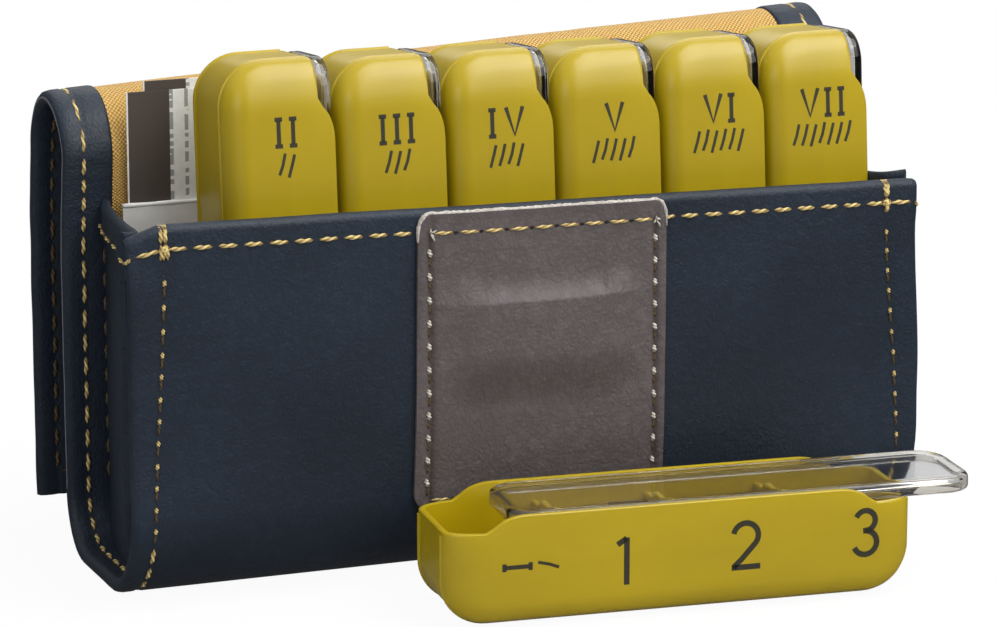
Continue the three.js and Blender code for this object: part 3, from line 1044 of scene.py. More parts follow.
def addTack(thread, side):
    marks = [rollStart + reach for reach in pocketThread["tackAboveRoll"]]
    marks += [frontStart + reach for reach in pocketThread["tackBelowRoll"]]
    depth = pocketThread["strandDepth"]
    for strand, offset in enumerate(pocketThread["strands"]):
        x = side * (cover["seamTopX"] + offset)
        drift = pocketThread["strandDrift"] * math.sin(strand * 2.1 + side)
        for place, (a, b) in enumerate(zip(marks, marks[1:])):
            shift = drift * (place - 1.5)
            start, end = coverPoint(a, x + shift, depth), coverPoint(b, x + shift + drift, depth)
            thread.stitch(start, end, outward(a, 0) + outward(b, 0), pocketThread["tackRadius"])
    knot = coverPoint(mouthRow, side * cover["seamTopX"], pocketThread["knotDepth"])
    for turn in pocketThread["knotTurns"]:
        reach = Vector((pocketThread["knotWidth"], 0, turn))
        thread.stitch(knot - reach, knot + reach, ahead, pocketThread["knotRadius"])


def buildPocketThread():
    thread = Thread("seam_thread_case", goldThread)
    # The tight seams' tails are in painted shade
    dim = Thread("seam_thread_dim", shadedThread)
    looseStart = frontBendStart + pocketThread["looseFrom"]
    for side in (-1, 1):
        addTightSeam(thread, dim, mouthRow + pocketThread["sideFrom"], looseStart, side)
    addSeams(thread, looseStart, backTop, ("out", "in"))
    dim.make("case")
    tack, outer = cover["seamTopX"], pocketThread["outerX"]
    for left, right in ((-outer, -tack), (-tack, tack), (tack, outer)):
        addMouthRow(thread, mouthRow, left, right)
    addMouthRow(thread, cover["innerSeam"], -tack, tack)
    for side in (-1, 1):
        addTack(thread, side)
    thread.make("case")


buildPocketThread()


# Gussets: soft side walls, sewn to the back hem and turned outward along the front panel
gusset = {
    "top": boxOf("gusset_left")[1].z,
    "topBack": 72.0,
    "topSag": 0.8,
    "bottom": boxOf("gusset_left")[0].z,
    "thickness": 1.3,
    "bandThickness": 0.8,
    "band": 5.2,
    "bandStep": 0.012,
    "roundFrom": 0.985,
    "roundShare": 0.0155,
    "puff": 0.9,
    "wrinkle": 0.35,
    "rows": 22,
    "footGap": 0.1,
    "footMargin": 0.6,
    "swellShare": 0.6,
    "wrinkleScale": (5, 0.05, 3.3),
    "seamDrop": 0.008,  # how far over the band's lower edge its row lies, as a share of the height
    "seamLift": 0.05,
    "seamPitch": 5.4,
    "seamFill": 0.82,
    "seamRadius": 0.3,
    "backFill": 0.7,
    "backFrom": 2,
    "backEnds": 6,
    "backInset": (0.9, -0.7),
    "backOut": (0.8, -0.6, 0),
    "cornerAt": 0.93,
    "leftLine": [
        (-73.3, 21.2), (-74.4, 16), (-75.6, 7), (-76.6, -3), (-77.2, -11), (-78.6, -16.5), (-82.0, -19.4),
    ],
    "rightLine": [
        (76.7, 21.2), (76.7, 16), (76.7, 7), (76.8, -3), (77.2, -11), (78.6, -16.5), (82.0, -19.4),
    ],
}


def smoothLine(points, count):
    chain = [Vector(point) for point in points]
    chain = [chain[0] * 2 - chain[1]] + chain + [chain[-1] * 2 - chain[-2]]
    line = []
    for segment in range(1, len(chain) - 2):
        p0, p1, p2, p3 = chain[segment - 1:segment + 3]
        for step in range(count):
            t = step / count
            line.append(0.5 * (2 * p1 + (p2 - p0) * t + (2 * p0 - 5 * p1 + 4 * p2 - p3) * t * t
                               + (3 * p1 - p0 - 3 * p2 + p3) * t * t * t))
    line.append(chain[-2])
    return line


# The gusset's lower edge follows the case's round bottom, just above the cover's inner face
def gussetFoot(y):
    front, back = cover["front"] + cover["frontBend"], cover["back"] - cover["backBend"]
    reach, radius = (front - y, cover["frontBend"]) if y < 0 else (y - back, cover["backBend"])
    radius -= cover["hemDepth"]
    inside = min(max(0, reach), radius - gusset["footMargin"])
    return cover["hemDepth"] + gusset["footGap"] + radius - math.sqrt(radius ** 2 - inside ** 2)


def gussetPoint(line, place, height, side, out):
    share = place / (len(line) - 1)
    here = line[place]
    before, after = line[max(0, place - 1)], line[min(len(line) - 1, place + 1)]
    way = (after - before).normalized()
    normal = Vector((way.y, -way.x)) * side
    if normal.x * side < 0 and abs(normal.x) > 0.3:
        normal = -normal
    top = mix(gusset["topBack"], gusset["top"], share) - gusset["topSag"] * math.sin(share * math.pi)
    z = mix(gussetFoot(here.y), top, height)
    puff = gusset["puff"] * math.sin(math.pi * height) * math.sin(math.pi * share) ** 2
    a, b, c = gusset["wrinkleScale"]
    wrinkle = gusset["wrinkle"] * cloudAt(share * a, z * b, side * c)
    flat = here + normal * (out + (puff + wrinkle) * gusset["swellShare"])
    return Vector((flat.x, flat.y, z))


# The upper edge is turned over into a thicker band, whose top is round
def gussetRings(line, side, bandShare):
    half, step = gusset["thickness"] / 2, gusset["bandStep"]
    rounded = gusset["roundFrom"]
    heights = [n / gusset["rows"] for n in range(gusset["rows"] + 1)]
    heights = sorted({*heights, bandShare - step, bandShare, rounded, 0.995})
    points = []
    for place in range(len(line)):
        outer, inner = [], []
        for height in heights:
            thick = half + gusset["bandThickness"] * ease(height, bandShare - step, bandShare)
            above = (height - rounded) / gusset["roundShare"]
            rounding = math.sqrt(max(0, 1 - above ** 2)) if height > rounded else 1
            outer.append(gussetPoint(line, place, height, side, thick * rounding))
            inner.append(gussetPoint(line, place, height, side, -half * rounding))
        points += outer + inner[::-1]
    return points, 2 * len(heights)


# Where the pocket's mouth row starts, one stitch runs down from the gusset's band and one runs in
cornerStitch = {
    "start": (0.8, 0, 0),
    "below": (0.9, 1.6, -1.3),
    "proud": (0.25, -0.45, 0),
    "proudShare": 0.6,
    "downOut": (1, -0.5, 0),
    "downRadius": 0.3,
    "inOut": (0.4, -1, 0),
    "inRadius": 0.32,
}


def addCornerStitches(thread, start, side):
    mouthEnd = coverPoint(mouthRow, side * pocketThread["outerX"], stitchSettings["lie"])
    start = start + mirrored(cornerStitch["start"], side)
    below = mouthEnd + mirrored(cornerStitch["below"], side)
    proud = mirrored(cornerStitch["proud"], side)
    thread.stitch(start, below, mirrored(cornerStitch["downOut"], side), cornerStitch["downRadius"])
    end = mouthEnd + proud * cornerStitch["proudShare"]
    thread.stitch(below + proud, end, mirrored(cornerStitch["inOut"], side), cornerStitch["inRadius"])


def buildGusset(name, side, points, replaced):
    line = smoothLine(points, 5)
    bandShare = 1 - gusset["band"] / (gusset["top"] - gusset["bottom"])
    spots, size = gussetRings(line, side, bandShare)
    piece = makePiece(name, spots, ringFaces(len(line), size), navyLeather, "navy_leather", cover["smooth"])
    tagCloth(piece, [(number // size * 1.4 + side * 40, spot.z, 1) for number, spot in enumerate(spots)])
    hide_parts(*replaced)
    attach(piece, "case")
    lineLength = sum((b - a).length for a, b in zip(line, line[1:]))
    surface = gusset["thickness"] / 2 + gusset["bandThickness"] + gusset["seamLift"]
    height = bandShare + gusset["seamDrop"]
    radius = gusset["seamRadius"]

    def bandLine(distance):
        place = distance / lineLength * (len(line) - 1)
        low = int(min(place, len(line) - 2))
        a = gussetPoint(line, low, height, side, surface)
        b = gussetPoint(line, low + 1, height, side, surface)
        way = b - a
        normal = Vector((way.y, -way.x, 0)) * side
        if normal.x * side < 0:
            normal = -normal
        return a.lerp(b, place - low), normal.normalized()

    def backLine(distance):
        insetX, insetY = gusset["backInset"]
        z = gusset["bottom"] + gusset["backFrom"] + distance
        return Vector((line[0].x + side * insetX, line[0].y + insetY, z)), mirrored(gusset["backOut"], side)

    gold = Thread(name + "_top_thread", goldThread)
    gold.row(bandLine, lineLength, gusset["seamPitch"], gusset["seamFill"], radius=radius)
    addCornerStitches(gold, bandLine(lineLength * gusset["cornerAt"])[0], side)
    gold.make("case")
    # The back seam lies recessed, so it is drawn in painted shade
    dim = Thread(name + "_back_thread", shadedThread)
    length = gusset["topBack"] - gusset["bottom"] - gusset["backEnds"]
    dim.row(backLine, length, fill=gusset["backFill"], radius=radius)
    dim.make("case")


buildGusset("gusset_wall_left", -1, gusset["leftLine"], ["gusset_left", "gusset_trim_left"])
buildGusset("gusset_wall_right", 1, gusset["rightLine"], ["gusset_right", "gusset_trim_right"])
print("pocket and gussets built")


# The front patch: a raised pad over the magnet, a cut edge that shows pale, sewn all round, with painted
# shade in its side seams' channels
patchLow, patchHigh = boxOf("closure_patch")
magnetLow, magnetHigh = boxOf("front_magnet")
patch = {
    "left": patchLow.x,
    "right": patchHigh.x,
    "bottom": patchLow.z,
    "top": patchHigh.z - 1.1,
    "thickness": 1.05,
    "corner": 4.0,
    "flare": 1.1,
    "padX": (magnetLow.x + magnetHigh.x) / 2,
    "padZ": (magnetLow.z + magnetHigh.z) / 2,
    "padWidth": 24.8,
    "padHeight": 10.4,
    "padRise": patchHigh.y - patchLow.y - 1.0,
    "padSlope": 5.6,
    "padSlopeSoft": 11.5,
    "seamInset": 2.4,
    "seamSink": 0.38,
    "seamWidth": 0.7,
    # Width, top and fade of the painted shade in the seam channels
    "darkWidth": 0.6,
    "darkRise": 0.8,
    "darkFade": 1.2,
    "flareRightShare": 0.4,
    "topCornerShare": 0.55,
    "rounding": 0.3,
    "smooth": 60,
    "sunk": 0.12,
    "topHold": 1.6,  # over this much below the mouth, the patch lies on the roll's front
    "curl": 0.5,
    "curlDrop": 3,
    "curlShare": 0.3,
    "wave": 0.15,
    "waveScale": 0.09,
    "rows": 84,
    "columns": 64,
}


# The pad's upper slope is crisp, the others are soft
def padRise(x, z):
    overX = max(0, abs(x - patch["padX"]) - patch["padWidth"] / 2)
    overZ = max(0, abs(z - patch["padZ"]) - patch["padHeight"] / 2)
    crisp = overZ / (overX + overZ) if overZ and z > patch["padZ"] else 0
    away = min(1, math.hypot(overX, overZ) / mix(patch["padSlopeSoft"], patch["padSlope"], crisp))
    return patch["padRise"] * mix((1 - away) ** 2 * (1 + 2 * away), (1 - away) ** 3, crisp)


def seamDip(x, width):
    edge = min(x - patch["left"], patch["right"] - x)
    return math.exp(-((edge - patch["seamInset"]) / width) ** 2)


def patchSurface(x, z):
    y = cover["front"]
    base = settle(Vector((x, y, min(z, cover["mouth"] - patch["topHold"]))))
    lift = settle(Vector((x, y, z))).z - z
    seam = seamDip(x, patch["seamWidth"]) * patch["seamSink"]
    curl = patch["curl"] * ease(z, cover["mouth"] - patch["curlDrop"], patch["top"])
    wave = patch["wave"] * cloudAt(x * patch["waveScale"], z * patch["waveScale"], 1.3)
    return base.y - patch["sunk"] - padRise(x, z) + seam - curl * patch["curlShare"] + wave, z + lift


def patchOutline(z):
    share = (z - patch["bottom"]) / (patch["top"] - patch["bottom"])
    flare = patch["flare"] * (1 - share)
    left, right = patch["left"] - flare, patch["right"] - flare * patch["flareRightShare"]
    radius = patch["corner"]
    for end, way, fullness in ((patch["bottom"], 1, 1), (patch["top"], -1, patch["topCornerShare"])):
        gap = (z - end) * way
        if gap < radius:
            inset = radius - math.sqrt(max(0, radius ** 2 - (radius - gap) ** 2))
            inset *= fullness
            left, right = left + inset, right - inset
    return left, right


# Rows and columns, closer together round the pad and along the seams
def patchGrid():
    bottom, top = patch["bottom"], patch["top"]
    wide = patch["right"] - patch["left"]
    rows = {bottom + (top - bottom) * n / patch["rows"] for n in range(patch["rows"] + 1)}
    rows |= {bottom + 0.2, top - 0.2, bottom + 0.5, top - 0.5}
    columns = {n / patch["columns"] for n in range(patch["columns"] + 1)}
    for inset in (-1.0, -0.65, -0.35, 0, 0.35, 0.65, 1.0):
        share = (patch["seamInset"] + inset) / wide
        columns |= {share, 1 - share}
    for side in (-1, 1):
        rows |= {patch["padZ"] + side * (patch["padHeight"] / 2 + reach) for reach in (0, 0.4, 0.8, 1.3)}
        for reach in (-0.3, 0, 0.3, 0.8):
            x = patch["padX"] + side * (patch["padWidth"] / 2 + reach)
            columns.add((x - patch["left"]) / wide)
    return sorted(rows), sorted(columns)


def buildPatch():
    rows, columns = patchGrid()
    points, channelShades = [], []
    for z in rows:
        left, right = patchOutline(z)
        # Painted shade in the seam channels, up to a little above the mouth row
        below = ease(cover["mouth"] - cover["mouthSeam"] + patch["darkRise"] - z, 0, patch["darkFade"])
        front, back, dark = [], [], []
        for share in columns:
            x = mix(left, right, share)
            y, height = patchSurface(x, z)
            rounding = patch["rounding"] if share in (0, 1) else 0
            front.append(Vector((x, y - patch["thickness"] + rounding, height)))
            back.append(Vector((x, y, height)))
            dark.append(seamDip(x, patch["darkWidth"]) * below)
        points += front + back[::-1]
        channelShades += dark + dark[::-1]
    faces = ringFaces(len(rows), 2 * len(columns))
    piece = makePiece("front_patch", points, faces, greyLeather, "grey_leather", patch["smooth"])
    tagCloth(piece, [(point.x, point.z, 2) for point in points])
    tagPoints(piece, "channelShade", channelShades)
    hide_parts("closure_patch")
    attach(piece, "case")


def patchOut(x, z, lift=0.0):
    y, height = patchSurface(x, z)
    return Vector((x, y - patch["thickness"] - lift, height))


# The cut edge round the patch's top, pale and a little ragged
cutEdge = {
    "drop": 5.5,
    "sideSteps": 14,
    "topSteps": 84,
    "sides": 6,
    "reach": 0.36,
    "ragged": (-0.1, 0.14),
    "depthShare": 0.56,
    "bend": 1.6,
    "taper": 6,
    "endReachShare": 0.35,
    "sink": 0.1,
    "endPoints": 8,
    "endUp": 0.15,
}


def buildPatchEdge():
    edgeRandom = random.Random(5)
    top, drop, steps = patch["top"], cutEdge["drop"], cutEdge["sideSteps"]
    leftSide = [top - drop * (1 - n / (steps - 1)) ** cutEdge["bend"] for n in range(steps)]
    rightSide = [top - drop * (n / (steps - 1)) ** cutEdge["bend"] for n in range(steps)]
    path = [(patchOutline(z)[0], z) for z in leftSide]
    left, right = path[-1][0], patchOutline(top)[1]
    path += [(mix(left, right, n / cutEdge["topSteps"]), top) for n in range(1, cutEdge["topSteps"])]
    path += [(patchOutline(z)[1], z) for z in rightSide]
    points, last = [], len(path) - 1
    for place, (x, z) in enumerate(path):
        taper = min(1, place / cutEdge["taper"], (last - place) / cutEdge["taper"])
        middle = patchOut(x, z - cutEdge["sink"]) + Vector((0, patch["thickness"] * 0.5, cutEdge["sink"]))
        outX = -1 if place < steps else 1 if last - place < steps else 0
        upright = cutEdge["endPoints"] < place < last - cutEdge["endPoints"]
        way = Vector((outX, 0, 1 if upright else cutEdge["endUp"])).normalized()
        reach = cutEdge["reach"] + edgeRandom.uniform(*cutEdge["ragged"])
        reach *= mix(cutEdge["endReachShare"], 1, taper)
        for angle in circle(cutEdge["sides"]):
            depth = math.cos(angle) * patch["thickness"] * cutEdge["depthShare"]
            points.append(middle + Vector((0, depth, 0)) + way * (math.sin(angle) * reach))
    faces = ringFaces(len(path), cutEdge["sides"])
    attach(makePiece("patch_cut_edge", points, faces, rawEdge, "grey_leather"), "case")


patchThread = {
    "columnFrom": 3,
    "columnPitch": 4.7,
    "headLength": 1.7,
    "tailShare": 0.78,
    "slant": (0.05, 0.4),
    "head": (0.4, 0.32),  # radius and arch
    "tail": (0.34, 0.04),
    "rowRadius": 0.31,
    "holeHalf": 0.5,
    "hole": (0.36, -0.05),
    "knotLift": 0.3,
    "knotTails": 6,
    "knotTail": (0.15, 0.25),
    "knotX": (-0.6, 1.7),
    "knotY": -0.35,
    "knotZ": (-2.2, 1.3),
}


def buildPatchThread():
    pale = Thread("patch_side_thread", paleThread)
    gold = Thread("patch_row_thread", goldThread)
    holes = Thread("patch_stitch_holes", holeShade)
    dim = Thread("patch_dim_thread", shadedThread)
    inset, lie, start = patch["seamInset"], stitchSettings["lie"], patchThread["columnFrom"]
    low, high = patch["bottom"] + inset, cover["mouth"] - cover["mouthSeam"]
    span = high - low - start
    count = round(span / patchThread["columnPitch"])

    def seamX(z, side):
        return patchOutline(z)[0] + inset if side < 0 else patchOutline(z)[1] - inset

    for side in (-1, 1):
        def column(distance, side=side):
            z = high - distance
            return patchOut(seamX(z, side), z, lie)
        for number in range(count):
            top = start + number * span / count
            head, neck = column(top), column(top + patchThread["headLength"])
            tail = column(top + patchThread["tailShare"] * span / count)
            slant = Vector((pale.random.uniform(*patchThread["slant"]), 0, 0))
            pale.stitch(head - slant, neck + slant, ahead, *patchThread["head"])
            # The tails run in the seam channel, drawn in painted shade
            dim.stitch(neck, tail, ahead, *patchThread["tail"])
    for z in (high, low):
        def row(distance, z=z):
            return patchOut(patchOutline(z)[0] + inset + distance, z, lie), ahead
        left, right = patchOutline(z)
        ends = gold.row(row, right - left - 2 * inset, radius=patchThread["rowRadius"])
        # A dark mark of painted shade in each stitch hole
        for end in ends[:-1]:
            centre, wide = row(end)[0], Vector((patchThread["holeHalf"], 0, 0))
            holes.stitch(centre - wide, centre + wide, ahead, *patchThread["hole"])
    for side in (-1, 1):
        knot = patchOut(seamX(high, side), high, patchThread["knotLift"])
        tails = random.Random(11 + side)
        for tail in range(patchThread["knotTails"]):
            x = tails.uniform(*patchThread["knotX"])
            reach = Vector((x, patchThread["knotY"], tails.uniform(*patchThread["knotZ"])))
            pale.stitch(knot, knot + reach, ahead, *patchThread["knotTail"])
    for thread in (pale, gold, holes, dim):
        thread.make("case")


buildPatch()
buildPatchEdge()
buildPatchThread()
print("patch built")


# Trays: u runs along the tray, v across it and w up to its lid
tray = {
    "length": 94.4,
    "width": 25.6,
    "height": 22.0,
    "wall": 1.3,
    "floor": 1.3,
    "endRadius": 9.0,
    "edge": 5.0,
    "cornerLength": 9.5,
    "cornerWidth": 5.0,
    "endDrop": 3.2,
    "dropLength": 8.6,
    "ramp": 7.5,
    "rampLean": 2.2,
    "rampShares": (-0.1, 0, 0.14, 0.3, 0.46, 0.6, 0.72, 0.82),
    "stopShares": (0.15, 0.35, 0.55, 0.7, 1.0),
    "lip": 0.4,
    "rimOutside": [(1.6, 0), (0.5, 0.06), (0.12, 0.22), (0, 0.45)],  # drop in lips, and inset
    "rimInside": [(0, 0.3), (0.3, 0.05), (1, 0)],  # drop in lips, and distance to the inner face
    "leastCorner": (0.3, 0.2),
    "outerHeights": (0, 0.04, 0.14, 0.32, 0.6, 1, 1.5, 2.1, 2.8, 3.6, 4.4, 5.2, 6.2, 7.4, 9, 11.5, 14, 16.5),
    "innerHeights": (15.0, 12.0, 9.0, 7.0, 5.4, 4.2, 3.3, 2.6, 2.0, 1.6, 1.4, 1.3),
    "ridge": 0.34,
    "ridgeWidth": 0.65,
    "ridgeTop": 0.9,
    "ridgeBend": 14,
    "marks": 5,
    "markPitch": 2.6,
    "markAt": (-8.5, -3.2),
    "markSize": (0.8, 2.2),
    "markHeights": (0.3, -0.1),
    "compartments": 4,
    "partition": 1.2,
    "partitionEdge": 0.2,
    "partitionDrop": 3.5,
    "partitionShoulder": -1.8,
    "partitionTop": [(9.6, -1.3), (6.4, -1.2), (5.6, -0.1), (5.0, 0.1)],  # from the middle, and rise
    "lean": math.radians(5),
    "looseTurn": math.radians(-4.7),
    "smooth": 38,
}


# A loop round a plan outline with oval corners, the same number of points at every height
def roundedLoop(halfLength, halfWidth, cornerLength, cornerWidth, stops, arcSteps=8):
    loop = []
    straight = halfLength - cornerLength
    span = halfWidth - cornerWidth
    across = (-1, -0.6, 0, 0.6, 1)

    def arc(centreU, centreV, start):
        for step in range(1, arcSteps):
            angle = start + math.pi / 2 * step / arcSteps
            loop.append((centreU + cornerLength * math.cos(angle), centreV + cornerWidth * math.sin(angle)))

    loop += [(straight * share, -halfWidth) for share in stops]
    arc(straight, -span, -math.pi / 2)
    loop += [(halfLength, span * share) for share in across]
    arc(straight, span, 0)
    loop += [(straight * share, halfWidth) for share in reversed(stops)]
    arc(-straight, span, math.pi / 2)
    loop += [(-halfLength, -span * share) for share in across]
    arc(-straight, -span, math.pi)
    return loop


def trayStops():
    straight = tray["length"] / 2 - tray["cornerLength"]
    shoulder = tray["length"] / 2 - tray["dropLength"] - tray["ramp"]
    ramp = [min(1, (shoulder + tray["ramp"] * share) / straight) for share in tray["rampShares"]]
    half = sorted({*ramp, *tray["stopShares"]})
    return [-share for share in reversed(half)] + [0] + half


# The wall's rim falls towards each end in a rounded shoulder
def wallTop(u):
    foot = tray["length"] / 2 - tray["dropLength"]
    shoulder, steered = foot - tray["ramp"], foot - tray["rampLean"]
    place = abs(u)
    if place <= shoulder:
        return tray["height"]
    if place >= foot:
        return tray["height"] - tray["endDrop"]
    low, high = 0, 1
    for _ in range(24):
        share = (low + high) / 2
        reached = shoulder * (1 - share) ** 2 + 2 * steered * share * (1 - share) + foot * share ** 2
        low, high = (share, high) if reached < place else (low, share)
    return tray["height"] - tray["endDrop"] * share ** 2


def bulge(radius, rise):
    return math.sqrt(max(0, radius ** 2 - max(0, radius - rise) ** 2))


def trayMesh():
    stops = trayStops()
    half, wide = tray["length"] / 2, tray["width"] / 2
    big, small = tray["endRadius"], tray["edge"]
    wall, lip = tray["wall"], tray["lip"]
    straight, span = half - tray["cornerLength"], wide - tray["cornerWidth"]
    rings = []

    def ring(a, b, height):
        leastLength, leastWidth = tray["leastCorner"]
        loop = roundedLoop(a, b, max(leastLength, a - straight), max(leastWidth, b - span), stops)
        rings.append([(u, v, height(u)) for u, v in loop])

    for w in tray["outerHeights"]:
        ring(half - big + bulge(big, w), wide - small + bulge(small, w), lambda u: w)
    rim = [(lip * share, inset) for share, inset in tray["rimOutside"]]
    rim += [(lip * share, wall - gap) for share, gap in tray["rimInside"]]
    for drop, inset in rim:
        ring(half - inset, wide - inset, lambda u: wallTop(u) - drop)
    innerBig, innerSmall = big - wall, small - wall
    for w in tray["innerHeights"]:
        rise = w - tray["floor"]
        a = half - wall - innerBig + bulge(innerBig, rise)
        ring(a, wide - wall - innerSmall + bulge(innerSmall, rise), lambda u: w)
    points = [point for one in rings for point in one]
    return points, ringFaces(len(rings), len(rings[0]))


# Partitions inside, their lower corners following the tray's round edges
def partitionMesh(points, faces):
    inner = tray["length"] - 2 * tray["wall"]
    reach = tray["edge"] - tray["wall"] / 2
    span = tray["width"] / 2 - tray["edge"]
    top = tray["height"] - tray["partitionDrop"]
    half, edge = tray["partition"] / 2, tray["partitionEdge"]
    side = []
    for step in range(6):
        angle = math.pi / 2 * step / 5
        side.append((span + reach * math.sin(angle), tray["edge"] - reach * math.cos(angle)))
    side.append((span + reach, top + tray["partitionShoulder"]))
    side += [(v, top + rise) for v, rise in tray["partitionTop"]]
    outline = side + [(-v, w) for v, w in reversed(side)]
    for wall in range(1, tray["compartments"]):
        middle = -inner / 2 + inner * wall / tray["compartments"]
        first = len(points)
        for u, shrink in ((-half, edge), (-half + edge, 0), (half - edge, 0), (half, edge)):
            points += [(middle + u, v, w - (shrink if w > top / 2 else 0)) for v, w in outline]
        faces += ringFaces(4, len(outline), first)


# A fine bead along both sides of the end faces and the underside, and small mould marks
def ridgeMesh(points, faces):
    half, radius = tray["length"] / 2, tray["endRadius"]
    low = tray["height"] - tray["endDrop"] - tray["ridgeTop"]
    path = [(-half, low, (-1, 0)), (-half, tray["ridgeBend"], (-1, 0))]
    for step in range(13):
        angle = math.pi + math.pi / 2 * step / 12
        out = (math.cos(angle), math.sin(angle))
        path.append((-half + radius + radius * out[0], radius + radius * out[1], out))
    path.append((0, 0, (0, -1)))
    path += [(-u, w, (-out[0], out[1])) for u, w, out in reversed(path[:-1])]
    edge = tray["width"] / 2 - tray["edge"]
    reach, rise = tray["ridgeWidth"], tray["ridge"]
    bead = [(-reach, -0.1), (-reach * 0.5, rise * 0.8), (0, rise), (reach * 0.5, rise * 0.7), (reach, -0.25)]
    for side in (-1, 1):
        first = len(points)
        for u, w, out in path:
            for shift, height in bead:
                points.append((u + out[0] * height, side * (edge + shift), w + out[1] * height))
        faces += ringFaces(len(path), len(bead), first)
    for mark in range(tray["marks"]):
        first = len(points)
        u, v = tray["markAt"][0] + mark * tray["markPitch"], tray["markAt"][1]
        for w in tray["markHeights"]:
            for angle in circle(8):
                a, b = tray["markSize"]
                points.append((u + a * math.cos(angle), v + b * math.sin(angle), w))
        faces += ringFaces(2, 8, first)


# The lid: a clear plate with a rounded rim all round and two small catches on its top
lid = {
    "length": 94.4,
    "width": 22.4,
    "corner": 6.0,
    "leastCorner": 0.8,
    "plateLow": 20.8,
    "plateHigh": 22.0,
    "rimLow": 19.0,
    "rimWall": 1.3,
    "top": [  # inset, how far below the plate's top, and further inset at the ends
        (3.2, 0.22, 0), (2.1, 0.22, 0), (1.7, 0.07, 0), (1.2, 0, 0),
        (0.55, 0.04, 0.35), (0.2, 0.24, 0.2), (0, 0.62, 0.12), (0, 1.2, 0.02),
    ],
    "rimOutside": [(0, 0.6), (0.12, 0.18), (0.4, 0)],  # inset, and height over the rim's foot
    "rimInside": [(-0.35, 0), (-0.08, 0.14), (0, 0.5)],
    "underside": [(0, -0.35), (0.4, 0), (2.2, 0)],
    "catchPlaces": [(-24, -9.5), (22, 9.5)],
    "catchRings": [(-4, 0.0), (-3.7, 0.24), (3.7, 0.24), (4, 0.0)],
    "duskyRim": (1.3, 2.4),
    "smooth": 50,
}


def lidMesh():
    half, wide = lid["length"] / 2, lid["width"] / 2
    stops = [-1, -0.95, -0.85, -0.6, -0.3, 0, 0.3, 0.6, 0.85, 0.95, 1]
    low, high, rim, wall = lid["plateLow"], lid["plateHigh"], lid["rimLow"], lid["rimWall"]
    profile = [(inset, high - drop, end) for inset, drop, end in lid["top"]]
    profile += [(inset, rim + rise, 0) for inset, rise in lid["rimOutside"]]
    profile += [(wall + inset, rim + rise, 0) for inset, rise in lid["rimInside"]]
    profile += [(wall + inset, low + rise, 0) for inset, rise in lid["underside"]]
    points = []
    for inset, height, end in profile:
        corner = max(lid["leastCorner"], lid["corner"] - inset)
        loop = roundedLoop(half - inset - end, wide - inset, corner, corner, stops, 10)
        points += [(u, v, height) for u, v in loop]
    faces = ringFaces(len(profile), len(loop))
    for u, v in lid["catchPlaces"]:
        first = len(points)
        for shift, grow in lid["catchRings"]:
            outline = [(-1, -0.3), (1, -0.3), (1, grow * 0.6), (0.5, grow), (-0.5, grow), (-1, grow * 0.6)]
            points += [(u + shift, v + way * 0.5, high + level) for way, level in outline]
        faces += ringFaces(4, 6, first)
    return points, faces


# Printed marks: plain strokes, cut as flat ribbons
def ribbon(points, faces, path, width, place):
    first = len(points)
    for index, point in enumerate(path):
        before, after = path[max(0, index - 1)], path[min(len(path) - 1, index + 1)]
        way = (Vector(after) - Vector(before)).normalized()
        side = Vector((-way.y, way.x)) * width / 2
        left, right = Vector(point) + side, Vector(point) - side
        points += [place(left, 0), place(right, 0), place(right, 1), place(left, 1)]
    faces += ringFaces(len(path), 4, first)


def arcPath(centre, radius, fromDegrees, toDegrees, steps=14):
    angles = [math.radians(mix(fromDegrees, toDegrees, n / steps)) for n in range(steps + 1)]
    return [(centre[0] + radius * math.cos(a), centre[1] + radius * math.sin(a)) for a in angles]


# Digits and numerals are drawn one unit high
def digitPaths(digit):
    if digit == 1:
        return [[(0.04, 0), (0.04, 1)], [(-0.16, 0.86), (0.04, 0.985)]]
    if digit == 2:
        top = arcPath((0, 0.71), 0.27, 168, -38)
        return [top + [(-0.1, 0.2), (-0.27, 0.045)], [(-0.3, 0.045), (0.32, 0.045)]]
    upper = arcPath((0, 0.755), 0.215, 158, -90)
    lower = arcPath((0, 0.285), 0.255, 90, -158)
    return [upper[:-1] + [(-0.05, 0.54)], lower]


def numeralPaths(number):
    letters = ["I", "II", "III", "IV", "V", "VI", "VII"][number - 1]
    gap, foot, slope, cursor, paths = 0.56, 0.15, 0.34, 0, []
    for letter in letters:
        if letter == "I":
            paths.append([(cursor, 0.05), (cursor, 0.95)])
            for level in (0.0, 1.0):
                paths.append([(cursor - foot, level), (cursor + foot, level)])
            cursor += gap
        else:
            paths.append([(cursor, 1.07), (cursor + slope, 0), (cursor + 2 * slope, 1.07)])
            cursor += 2 * slope + gap * 0.75
    width = cursor - gap
    return [[(x - width / 2, y) for x, y in path] for path in paths]


labels = {
    "numeralHeight": 5.2,
    "numeralStroke": 0.85,
    "numeralU": -30.8,
    "numeralW": 11.9,
    "tallyU": -24.9,
    "tallyHeight": 4.3,
    "tallyPitch": 1.9,
    "tallyStroke": 0.62,
    "tallySlant": 0.3,
    "tallyUneven": 0.3,
    "digitHeight": 9.4,
    "digitStroke": 1.15,
    "digitPlaces": [(-12.0, 6.6), (12.4, 7.7), (36.9, 8.3)],
    "inkDepth": 0.03,
    "inkSunk": 0.02,
}


